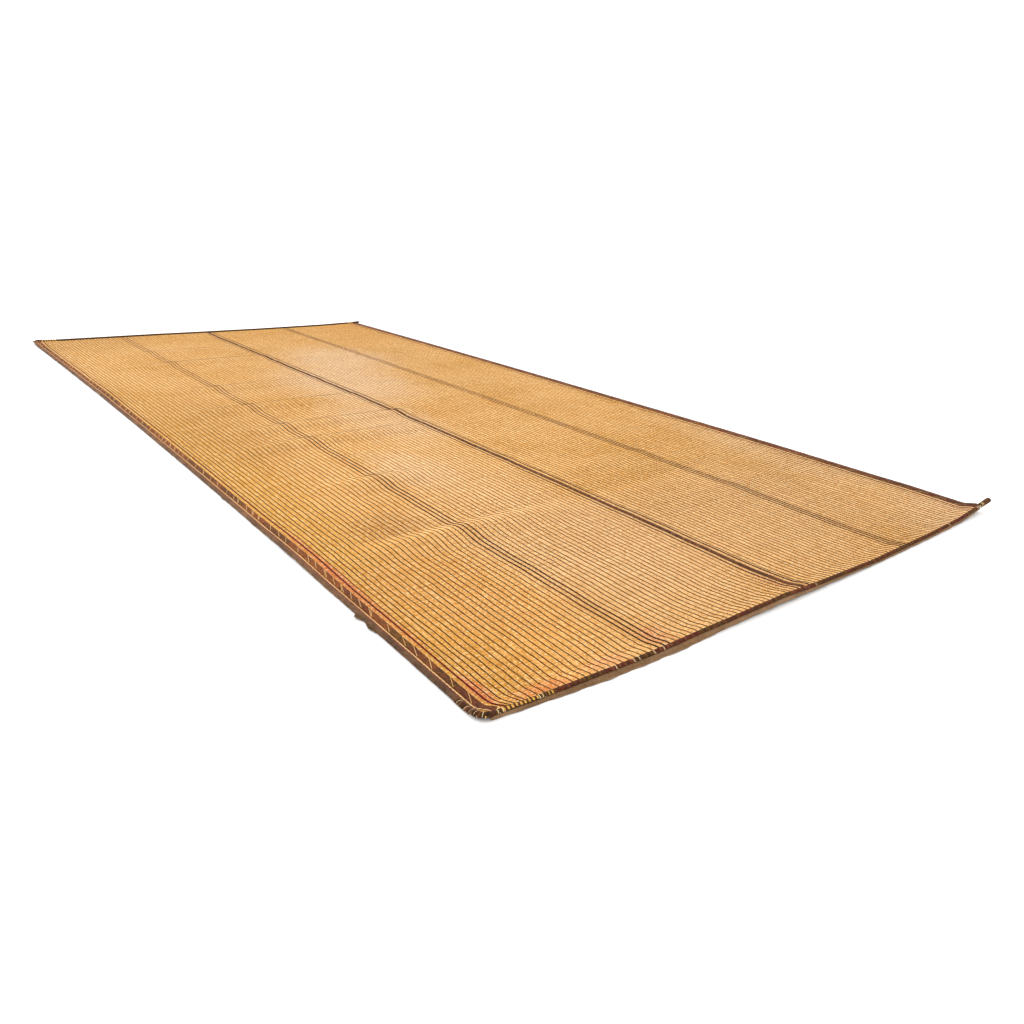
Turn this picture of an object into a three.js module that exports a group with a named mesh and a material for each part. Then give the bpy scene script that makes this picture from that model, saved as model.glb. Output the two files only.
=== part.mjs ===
// A floor mat of fine reeds bound with leather thongs, lying on the ground.
// The reeds run across the width, the thongs and leather strips run along the length,
// and all four edges are bound in leather. Millimetres, +Z up, underside on Z = 0.
// "across" is the place over the width, "along" the place over the length, both from
// the middle of the mat, and "up" is the height over the underside of the reeds.
import * as THREE from 'three';

// Driving dimensions
const WIDTH = 1990; // over the two side bindings
const LENGTH = 4271; // over the two end bindings, at the corners
const REED_THICKNESS = 4; // one layer of reeds with the thongs drawn through
const REED_INSET = 8; // the reeds stop this far inside the bindings' outer faces
const SIDE_BOW = 23; // the middle of the length lies this far right of the ends
const NEAR_BOW = 28; // the near end bulges outwards by this much at mid-width
const FAR_SLANT = 58; // the left side runs on this much further at the far end
const DRAWN_IN = { by: 22, from: 1100, run: 800 }; // the right side, towards the near end
const HALF_WIDTH = WIDTH / 2;
const HALF_LENGTH = LENGTH / 2;

// Leather and thongs
const LIP = 1.6; // leather folded under the reeds at every edge
const LIP_GAP = 0.4; // reeds to leather inside a binding
const SEAT = 0.9; // strips and thongs lie this far over the facets of the reeds
const END_GAP = 0.5; // between pieces that follow each other along one line
const BINDING_DEPTH = 16.5; // how far a side binding reaches in over the reeds
const END_BINDING_DEPTH = 15;
const HEM = { depth: 13, thickness: 5, inset: 1.5 }; // folded under the near end
const CORE = { radius: 6, tip: 4.5, sides: 12 }; // the rod inside each end binding
const ENDS = [
  { end: 'near', sign: -1, height: 10, coreLength: 64, coreClimb: 4 }, // past the right-hand corner
  { end: 'far', sign: 1, height: 13, coreLength: 24, coreClimb: 1 },
];
const STRIP_THICKNESS = 1.5;
const CORD = { radius: 1.3, sides: 5 };

// How the mat leaves the ground: at its side bindings, its right side and its two ends
const EDGE_RUN = 42; // the reeds climb onto the folded-under leather over this width
const BEAD_RUN = 46; // the reeds climb onto the end bindings over this length
const CURL_RUN = 165; // the lifted ends come down to the ground over this length
const PLATEAU = 12; // the last stretch inside an end binding stays level

const NEAR_LIFT = [
  { at: -HALF_WIDTH, gap: 2 },
  { at: -860, gap: 0 },
  { at: -540, gap: 1 },
  { at: -430, gap: 6 },
  { at: -110, gap: 13 },
  { at: 10, gap: 7 },
  { at: 160, gap: 4 },
  { at: 300, gap: 0 },
  { at: 640, gap: 1 },
  { at: 860, gap: 4 },
  { at: HALF_WIDTH, gap: 16 },
];
const FAR_LIFT = [
  { at: -HALF_WIDTH, gap: 10 },
  { at: -860, gap: 5.5 },
  { at: -500, gap: 5 },
  { at: -300, gap: 4.5 },
  { at: -110, gap: 2.5 },
  { at: 230, gap: 1 },
  { at: 400, gap: 0.5 },
  { at: 740, gap: 2.5 },
  { at: HALF_WIDTH, gap: 8 },
];

// The gap under the right side at places along the mat. It closes inwards over RIGHT_RUN.
const RIGHT_RUN = 300;
const RIGHT_LIFT = [
  { at: -HALF_LENGTH, gap: 9 },
  { at: -1900, gap: 14 },
  { at: -1500, gap: 12 },
  { at: -1200, gap: 10 },
  { at: -600, gap: 9 },
  { at: HALF_LENGTH, gap: 9 },
];

// One row for each soft ripple left by rolling. "crest" is its place along the mat,
// "near" and "far" are the runs of its two slopes, and across the mat it starts at
// "from", is whole between "full" and "fade", and ends at "to". The widest one is the slack
// that the others stand on.
const RIPPLES = [
  { crest: -1541, rise: 7, near: 130, far: 110, from: 190, full: 400, fade: 560, to: 800 },
  { crest: -1366, rise: 11.5, near: 120, far: 60, from: -900, full: -600, fade: -440, to: -80 },
  { crest: -1270, rise: 5, near: 320, far: 340, from: -1300, full: -1100, fade: -950, to: -800 },
  { crest: -1107, rise: 5, near: 90, far: 80, from: -80, full: 160, fade: 300, to: 450 },
  { crest: -872, rise: 10.5, near: 130, far: 55, from: -760, full: -560, fade: -480, to: -230 },
  { crest: -550, rise: 6, near: 1500, far: 1500, from: -900, full: -600, fade: -250, to: 150 },
  { crest: -362, rise: 9, near: 120, far: 55, from: -860, full: -560, fade: -230, to: 60 },
  { crest: -132, rise: 8.5, near: 110, far: 55, from: -800, full: -500, fade: -80, to: 160 },
  { crest: 235, rise: 10.5, near: 150, far: 55, from: -860, full: -600, fade: -230, to: 90 },
  { crest: 637, rise: 9, near: 120, far: 65, from: -760, full: -560, fade: -230, to: 60 },
  { crest: 750, rise: 4, near: 300, far: 350, from: -1300, full: -1100, fade: -950, to: -800 },
  { crest: 1278, rise: 9, near: 110, far: 70, from: -860, full: -600, fade: -160, to: 90 },
  { crest: 1612, rise: 7, near: 100, far: 70, from: -760, full: -560, fade: -300, to: 60 },
];

// Leather strips, cords and heavy thongs laid along the mat, by the middle of each
const CENTRE_LINE = -22;
const QUARTER = { left: -522, right: 478, pitch: 16.5, width: 4.6, thickness: 1.8 };
const CENTRE = { strip: 20, thong: 5.5, spread: 23 };
const BORDER = { strip: 16.5, stripIn: 29.5, thong: 4.6, cordIn: 18.6 };
const SIDES = [
  { side: 'left', sign: -1, height: 10, thongIn: 51.5 },
  { side: 'right', sign: 1, height: 8.4, thongIn: 50 },
];

// Where the reeds' surface is worked out: columns over the width
const COLUMNS = [
  -987, -945, -860, -740, -620, -500, -400, -300, -190, -110, -50, 6, 60, 230, 400, 640,
  740, 820, 890, 945, 987,
];
const ROW_SPACING = { least: 19, most: 420 };
const SHALLOW = 7; // a ripple no higher than this needs only its foot and crest rows
const STRAIGHT = { up: 0.14, sideways: 0.4 }; // bends of less than this are left out

const FINISHES = {
  reed: { color: '#dcab6d', roughness: 0.62 },
  binding: { color: '#6a5f50', roughness: 0.85 },
  strip: { color: '#8c5731', roughness: 0.7 },
  cord: { color: '#e3cda0', roughness: 0.8 },
  thong: { color: '#5b3b24', roughness: 0.72 },
  redThong: { color: '#8d3a2d', roughness: 0.72 },
  endBinding: { color: '#5a2b1f', roughness: 0.66 },
  hem: { color: '#a08460', roughness: 0.85 },
};

function finish(name) {
  const { color, roughness } = FINISHES[name];
  return new THREE.MeshStandardMaterial({ color, roughness, metalness: 0 });
}

// A rise from 0 to 1 with level ends, for t from 0 to 1 and beyond
function smoothRise(t) {
  return THREE.MathUtils.smoothstep(t, 0, 1);
}

// A straight-line reading of a table that is sorted by its "at" column
function gapAt(table, at) {
  const next = table.findIndex((row) => row.at >= at);
  if (next <= 0) {
    return table[0].gap;
  }
  const [a, b] = [table[next - 1], table[next]];
  return THREE.MathUtils.mapLinear(at, a.at, b.at, a.gap, b.gap);
}

function rippleHeight(ripple, across, along) {
  const run = along < ripple.crest ? ripple.near : ripple.far;
  const distance = Math.min(Math.abs(along - ripple.crest) / run, 1);
  const profile = Math.cos((distance * Math.PI) / 2) ** 2;
  const start = smoothRise((across - ripple.from) / (ripple.full - ripple.from));
  const end = smoothRise((ripple.to - across) / (ripple.to - ripple.fade));
  return ripple.rise * profile * start * end;
}

// Height of the reeds' underside at one end: over the ground gap, the folded-under
// leather and, at the near end, the hem
function endHeight(table, across, fromEnd, under) {
  const curl = smoothRise(1 - (fromEnd - PLATEAU) / CURL_RUN);
  const bead = smoothRise(1 - (fromEnd - PLATEAU) / BEAD_RUN);
  return gapAt(table, across) * curl + under * bead;
}

const UNDER_FAR = LIP + LIP_GAP;
const UNDER_NEAR = UNDER_FAR + HEM.thickness + END_GAP;

// Height of the reeds' underside over the ground
function reedHeight(across, along) {
  const fromSide = HALF_WIDTH - REED_INSET - Math.abs(across);
  const edge = UNDER_FAR * Math.max(0, 1 - fromSide / EDGE_RUN);
  const rightGap = across > 0 ? gapAt(RIGHT_LIFT, along) : 0;
  const side = edge + rightGap * smoothRise(1 - fromSide / RIGHT_RUN);
  const near = endHeight(NEAR_LIFT, across, along + HALF_LENGTH, UNDER_NEAR);
  const far = endHeight(FAR_LIFT, across, HALF_LENGTH - along, UNDER_FAR);
  const ripples = RIPPLES.reduce((sum, r) => sum + rippleHeight(r, across, along), 0);
  return Math.max(side, near, far, ripples);
}

// The same height on the facets between two neighbouring columns
function facetHeight(across, along) {
  const inner = THREE.MathUtils.clamp(across, COLUMNS[0], COLUMNS.at(-1));
  const next = Math.max(1, COLUMNS.findIndex((column) => column >= inner));
  const [a, b] = [COLUMNS[next - 1], COLUMNS[next]];
  const heights = [reedHeight(a, along), reedHeight(b, along)];
  return THREE.MathUtils.mapLinear(inner, a, b, heights[0], heights[1]);
}

// From the mat's own across, along and height to its place on the ground
function place(across, along, height) {
  const nearness = Math.max(0, -along / HALF_LENGTH);
  const bulge = NEAR_BOW * (1 - (across / HALF_WIDTH) ** 2) * nearness ** 2;
  const bow = SIDE_BOW * (1 - (along / HALF_LENGTH) ** 2);
  const rightness = Math.max(0, across / HALF_WIDTH);
  const drawn = DRAWN_IN.by * smoothRise((-along - DRAWN_IN.from) / DRAWN_IN.run);
  const shift = bow - drawn * rightness ** 2;
  const farness = Math.max(0, along / HALF_LENGTH);
  const slant = (FAR_SLANT * (1 - across / HALF_WIDTH) * farness ** 4) / 2;
  return new THREE.Vector3(across + shift, along - bulge + slant, height);
}

// Rows along the length: at each slope of each ripple, close together at the ends, and
// no further apart than the side bow allows
function rowsAlong() {
  const end = HALF_LENGTH - REED_INSET;
  const inwards = [0, 12, 30, 56, 100, 172];
  const wanted = inwards.flatMap((step) => [step - end, end - step]);
  for (const { crest, rise, near, far } of RIPPLES) {
    wanted.push(crest - near, crest, crest + far);
    if (rise > SHALLOW) {
      wanted.push(crest - near / 2, crest + far / 2);
    }
  }
  wanted.sort((a, b) => a - b);
  const rows = [];
  for (const row of wanted) {
    const last = rows.at(-1) ?? -Infinity;
    const inEnd = Math.abs(row) > end - inwards.at(-1) - 1;
    if (row - last >= ROW_SPACING.least || inEnd) {
      const steps = Number.isFinite(last) ? Math.ceil((row - last) / ROW_SPACING.most) : 1;
      for (let step = 1; step < steps; step += 1) {
        rows.push(last + ((row - last) * step) / steps);
      }
      rows.push(row);
    }
  }
  return rows;
}

const ROWS = rowsAlong();

// Whether a line laid straight from one row to another leaves the reeds at a row between
function leavesReeds(across, last, row, next) {
  const seat = (along) => place(across, along, facetHeight(across, along));
  const share = (row - last) / (next - last);
  const miss = seat(row).sub(seat(last).lerp(seat(next), share));
  return Math.abs(miss.z) > STRAIGHT.up || Math.abs(miss.x) > STRAIGHT.sideways;
}

// Only the rows that a piece at this place over the width needs: a row is left out where
// the surface runs straight past it
function rowsFor(across, from, to) {
  const candidates = ROWS.filter((row) => row > from + END_GAP && row < to - END_GAP);
  const rows = [from];
  let passed = [];
  candidates.forEach((row, i) => {
    const last = rows.at(-1);
    const next = candidates[i + 1] ?? to;
    passed.push(row);
    const needed = passed.some((between) => leavesReeds(across, last, between, next));
    if (needed || next - last > ROW_SPACING.most) {
      rows.push(row);
      passed = [];
    }
  });
  return [...rows, to];
}

// The end faces of a thin sheet: one strip of faces from its under line to its over line,
// which run in opposite directions round the section
function ladder(section) {
  const last = section.length - 1;
  return section.slice(0, section.length / 2 - 1).flatMap((_, i) => [
    [i, i + 1, last - i - 1],
    [i, last - i - 1, last - i],
  ]);
}

function fill(section) {
  return THREE.ShapeUtils.triangulateShape(section, []);
}

// A closed body: one copy of the outline at each station, joined, with its ends closed
function sweep(outline, stations, toPoint, close = fill) {
  const section = THREE.ShapeUtils.isClockWise(outline) ? outline.toReversed() : outline;
  const positions = [];
  const faces = [];
  const count = section.length;
  for (const station of stations) {
    for (const corner of section) {
      positions.push(...toPoint(corner, station).toArray());
    }
  }
  for (let s = 0; s < stations.length - 1; s += 1) {
    for (let i = 0; i < count; i += 1) {
      const [a, b] = [s * count + i, s * count + ((i + 1) % count)];
      faces.push(a, b, b + count, a, b + count, a + count);
    }
  }
  const last = (stations.length - 1) * count;
  for (const [a, b, c] of close(section)) {
    faces.push(a, c, b, last + a, last + b, last + c);
  }
  const geometry = new THREE.BufferGeometry();
  geometry.setAttribute('position', new THREE.Float32BufferAttribute(positions, 3));
  geometry.setIndex(facingOut(positions, faces));
  geometry.computeVertexNormals();
  return geometry;
}

// The faces as they are if they enclose a positive volume, or else all turned over
function facingOut(positions, faces) {
  const corner = (i) => new THREE.Vector3().fromArray(positions, 3 * i);
  let volume = 0;
  for (let i = 0; i < faces.length; i += 3) {
    const [a, b, c] = [corner(faces[i]), corner(faces[i + 1]), corner(faces[i + 2])];
    volume += a.dot(b.cross(c));
  }
  return volume > 0 ? faces : faces.reverse();
}

function point(x, y) {
  return new THREE.Vector2(x, y);
}

const group = new THREE.Group();

function add(name, geometry, material) {
  const mesh = new THREE.Mesh(geometry, finish(material));
  mesh.name = name;
  group.add(mesh);
}

// The reeds: one sheet over the whole mat
function reedField() {
  const under = COLUMNS.map((across) => point(across, 0));
  const over = COLUMNS.toReversed().map((across) => point(across, REED_THICKNESS));
  const toPoint = (corner, along) =>
    place(corner.x, along, reedHeight(corner.x, along) + corner.y);
  return sweep([...under, ...over], ROWS, toPoint, ladder);
}

// A flat strip or thong laid along the reeds between the two end bindings
function laidStrip(middle, width, thickness) {
  const foot = REED_THICKNESS + SEAT;
  const top = foot + thickness;
  const shoulder = Math.min(0.8, width / 5);
  const section = [
    point(-width / 2, foot),
    point(width / 2, foot),
    point(width / 2 - shoulder, top),
    point(shoulder - width / 2, top),
  ];
  const end = HALF_LENGTH - END_BINDING_DEPTH - END_GAP;
  const toPoint = (corner, along) =>
    place(middle + corner.x, along, facetHeight(middle + corner.x, along) + corner.y);
  return sweep(section, rowsFor(middle, -end, end), toPoint);
}

// The stitched cord between a side binding and its leather strip
function laidCord(middle) {
  const centre = REED_THICKNESS + SEAT + CORD.radius;
  const section = Array.from({ length: CORD.sides }, (_, i) => {
    const turn = (2 * Math.PI * (i + 0.5)) / CORD.sides;
    return point(CORD.radius * Math.cos(turn), centre + CORD.radius * Math.sin(turn));
  });
  const end = HALF_LENGTH - END_BINDING_DEPTH - END_GAP;
  const toPoint = (corner, along) =>
    place(middle + corner.x, along, facetHeight(middle, along) + corner.y);
  return sweep(section, rowsFor(middle, -end, end), toPoint);
}

// Leather folded round an edge of the reeds: a rounded back outside, a longer lip above
// the reeds and a short lip below them. x runs in from the outer face, y up from below.
function foldedEdge(depth, height) {
  const slot = { back: REED_INSET - 1, low: LIP, high: LIP + REED_THICKNESS + 2 * LIP_GAP };
  const shortLip = REED_INSET + 3; // how far in the lip under the reeds reaches
  const lipTop = slot.high + 1.2; // the upper lip's thickness at its inner edge
  return [
    point(shortLip, 0),
    point(2.5, 0),
    point(0.6, 0.24 * height),
    point(0, 0.5 * height),
    point(1, 0.8 * height),
    point(4, height),
    point(0.45 * depth, 0.97 * height),
    point(0.7 * depth, Math.max(lipTop, 0.8 * height)),
    point(depth, lipTop),
    point(depth, slot.high),
    point(slot.back, slot.high),
    point(slot.back, slot.low),
    point(shortLip, slot.low),
  ];
}

function sideBinding({ sign, height }) {
  const edge = sign * (HALF_WIDTH - REED_INSET);
  const end = HALF_LENGTH - END_BINDING_DEPTH - END_GAP;
  const toPoint = (corner, along) => {
    const across = sign * (HALF_WIDTH - corner.x);
    const foot = Math.max(0, facetHeight(across, along) - UNDER_FAR);
    return place(across, along, foot + corner.y);
  };
  return sweep(foldedEdge(BINDING_DEPTH, height), rowsFor(edge, -end, end), toPoint);
}

// Stations over the width: the columns, and the two corners
const ACROSS = [-HALF_WIDTH, ...COLUMNS, HALF_WIDTH];

// A piece that runs over the width at one end; "low" is its foot under the reeds
function endPiece(section, sign, low) {
  const edge = sign * (HALF_LENGTH - REED_INSET);
  const toPoint = (corner, across) => {
    const foot = facetHeight(across, edge) - low;
    return place(across, sign * (HALF_LENGTH - corner.x), foot + corner.y);
  };
  return sweep(section, ACROSS, toPoint);
}

function nearHem() {
  const { depth, thickness, inset } = HEM;
  const section = [
    point(inset + depth, 0),
    point(inset + 1, 0),
    point(inset, 0.4 * thickness),
    point(inset + 0.6, thickness),
    point(inset + depth, thickness),
  ];
  return endPiece(section, -1, UNDER_NEAR);
}

// The rod inside an end binding, where it stands out past the right-hand corner
function coreTip({ sign, height, coreLength, coreClimb }) {
  const edge = sign * (HALF_LENGTH - REED_INSET);
  const middle = reedHeight(HALF_WIDTH - REED_INSET, edge) - UNDER_FAR + height / 2;
  const section = Array.from({ length: CORE.sides }, (_, i) => {
    const turn = (2 * Math.PI * i) / CORE.sides;
    return point(Math.cos(turn), Math.sin(turn));
  });
  const toPoint = (corner, share) => {
    const radius = THREE.MathUtils.lerp(CORE.radius, CORE.tip, share ** 2);
    const up = middle + coreClimb * share + radius * corner.y;
    const outwards = END_GAP + coreLength * share;
    return place(HALF_WIDTH, edge, up).add(
      new THREE.Vector3(outwards, radius * corner.x, 0),
    );
  };
  return sweep(section, [0, 0.25, 0.5, 0.75, 1], toPoint);
}

add('reed_field', reedField(), 'reed');

for (const side of SIDES) {
  const inFromEdge = (distance) => side.sign * (HALF_WIDTH - distance);
  add(`side_binding_${side.side}`, sideBinding(side), 'binding');
  add(`side_cord_${side.side}`, laidCord(inFromEdge(BORDER.cordIn)), 'cord');
  add(
    `side_strip_${side.side}`,
    laidStrip(inFromEdge(BORDER.stripIn), BORDER.strip, STRIP_THICKNESS),
    'strip',
  );
  add(
    `red_thong_${side.side}`,
    laidStrip(inFromEdge(side.thongIn), BORDER.thong, QUARTER.thickness),
    'redThong',
  );
  for (const number of [1, 2, 3]) {
    const middle = QUARTER[side.side] + (number - 2) * QUARTER.pitch;
    add(
      `quarter_thong_${side.side}_${number}`,
      laidStrip(middle, QUARTER.width, QUARTER.thickness),
      'thong',
    );
  }
  add(
    `centre_thong_${side.side}`,
    laidStrip(CENTRE_LINE + side.sign * CENTRE.spread, CENTRE.thong, QUARTER.thickness),
    'thong',
  );
}

add('centre_strip', laidStrip(CENTRE_LINE, CENTRE.strip, STRIP_THICKNESS), 'strip');

for (const end of ENDS) {
  const section = foldedEdge(END_BINDING_DEPTH, end.height);
  add(`end_binding_${end.end}`, endPiece(section, end.sign, UNDER_FAR), 'endBinding');
  add(`end_core_${end.end}`, coreTip(end), 'endBinding');
}

add('end_hem_near', nearHem(), 'hem');

// The origin is the middle of the mat's footprint, on the ground
const footprint = new THREE.Box3().setFromObject(group).getCenter(new THREE.Vector3());
group.position.set(-footprint.x, -footprint.y, 0);

export default group;
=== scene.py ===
"""The looks of a long floor mat of fine reeds, stitched with thongs and bound in leather.

The reeds run across the mat and the thongs along it. Each piece is first laid out flat, by
its place across the mat, along it and up from the underside of the reeds. Geometry Nodes
then lay it on the mat's form, which has the ripples, the lifted ends and the bowed sides.
All sizes are in metres, and places are from the middle of the mat.
"""
import logging
import math
import random
from dataclasses import dataclass, field
from enum import Enum
from typing import ClassVar, Sequence

import bpy
import numpy as np
from mathutils import Matrix, Vector


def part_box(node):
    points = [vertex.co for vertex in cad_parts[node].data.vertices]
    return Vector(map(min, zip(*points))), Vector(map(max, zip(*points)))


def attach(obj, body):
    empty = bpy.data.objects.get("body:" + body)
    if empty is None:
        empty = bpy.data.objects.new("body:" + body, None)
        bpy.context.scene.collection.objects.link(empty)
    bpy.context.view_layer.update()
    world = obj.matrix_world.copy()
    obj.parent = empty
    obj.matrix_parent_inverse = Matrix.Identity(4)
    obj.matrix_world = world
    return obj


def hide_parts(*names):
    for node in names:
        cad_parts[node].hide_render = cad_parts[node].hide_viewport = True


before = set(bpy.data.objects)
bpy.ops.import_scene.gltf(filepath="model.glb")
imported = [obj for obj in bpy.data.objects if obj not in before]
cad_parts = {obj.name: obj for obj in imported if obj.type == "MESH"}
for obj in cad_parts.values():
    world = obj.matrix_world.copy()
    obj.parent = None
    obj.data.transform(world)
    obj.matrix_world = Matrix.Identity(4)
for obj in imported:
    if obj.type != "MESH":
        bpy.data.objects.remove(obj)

LOG = logging.getLogger("reed_mat")
BODY = "root"
FLAT = "Flat"  # the UV map that holds each point's place across and along the flat mat
TONE = "tone"  # the attribute that differs from one strand to the next, from 0 to 1
DYE = "dye"  # the attribute that holds a strand's or a winding's colour
ENDLESS = 1e9  # a pitch so long that nothing twists, swells or wanders
THREAD_STANDS = 0.0012  # how much wider a pale thread winds than the turns under it

Point = tuple[float, float, float]
Colour = tuple[float, float, float, float]
Socket = bpy.types.NodeSocket
Value = float | int | bool | str | Sequence[float] | Socket


class Side(Enum):
    """The two long sides of the mat."""

    LEFT = -1
    RIGHT = 1


class End(Enum):
    """The two ends of the mat."""

    NEAR = -1
    FAR = 1


class Dye(Enum):
    """The colours of the leather, as the eye sees them in plain daylight."""

    MAROON = "561c12"
    OLIVE = "5c4414"
    BLACK = "2e1c0c"
    CREAM = "ead39c"
    GOLD = "d0a046"
    UMBER = "4c2c10"
    RUST = "7c4016"
    STRAW = "e0aa5c"
    GREY = "664830"
    PLUM = "7e4630"
    TAN = "826242"

    @property
    def linear(self) -> Colour:
        """The dye as linear red, green, blue and alpha."""
        return daylight(self.value)


def daylight(code: str) -> Colour:
    """Turns a six-digit colour code into linear light.

    Args:
        code: two hexadecimal digits each for red, green and blue.

    Returns:
        Linear red, green, blue and an alpha of 1.
    """
    parts = [int(code[i : i + 2], 16) / 255 for i in (0, 2, 4)]
    red, green, blue = (c / 12.92 if c <= 0.04045 else ((c + 0.055) / 1.055) ** 2.4 for c in parts)
    return red, green, blue, 1.0


def smooth_rise(t: np.ndarray) -> np.ndarray:
    """A rise from 0 to 1 with level ends.

    Args:
        t: shares of the rise, which may run past 0 and 1.

    Returns:
        The height at each share.
    """
    t = np.clip(t, 0, 1)
    return t * t * (3 - 2 * t)


def shown(name: str, data: bpy.types.ID) -> bpy.types.Object:
    """Makes an object and links it to the scene.

    Args:
        name: its name.
        data: its mesh, lamp or camera.

    Returns:
        The object.
    """
    made = bpy.data.objects.new(name, data)
    bpy.context.scene.collection.objects.link(made)
    return made


def ramp(place: float, start: float, run: float) -> float:
    """A soft rise from 0 at the start to 1 after the run."""
    return float(smooth_rise((place - start) / run))


# --- The form of the mat ---


@dataclass(frozen=True)
class Ripple:
    """One soft ripple across part of the mat, left by rolling it.

    The ripple rises over the run "near" and falls over the run "far" on either side of its
    crest. Across the mat it begins at "start", is whole from "full" to "fade" and ends at
    "stop".
    """

    crest: float
    rise: float
    near: float
    far: float
    start: float
    full: float
    fade: float
    stop: float

    def height(self, across: np.ndarray, along: np.ndarray) -> np.ndarray:
        """The ripple's height.

        Args:
            across: places across the mat.
            along: places along the mat.

        Returns:
            The height over the ground at each place.
        """
        run = np.where(along < self.crest, self.near, self.far)
        distance = np.minimum(np.abs(along - self.crest) / run, 1)
        profile = np.cos(distance * math.pi / 2) ** 2
        begins = smooth_rise((across - self.start) / (self.full - self.start))
        ends = smooth_rise((self.stop - across) / (self.stop - self.fade))
        return self.rise * profile * begins * ends


@dataclass(frozen=True)
class Lift:
    """How far one end of the mat stands off the ground, by place across the mat."""

    across: tuple[float, ...]
    gap: tuple[float, ...]
    under: float  # thickness of the leather folded under the reeds at this end

    def height(self, across: np.ndarray, from_end: np.ndarray) -> np.ndarray:
        """The height that this end adds.

        Args:
            across: places across the mat.
            from_end: distances from this end of the mat.

        Returns:
            The height over the ground at each place.
        """
        curl = smooth_rise(1 - (from_end - MatForm.PLATEAU) / MatForm.CURL_RUN)
        bead = smooth_rise(1 - (from_end - MatForm.PLATEAU) / MatForm.BEAD_RUN)
        return np.interp(across, self.across, self.gap) * curl + self.under * bead


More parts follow.
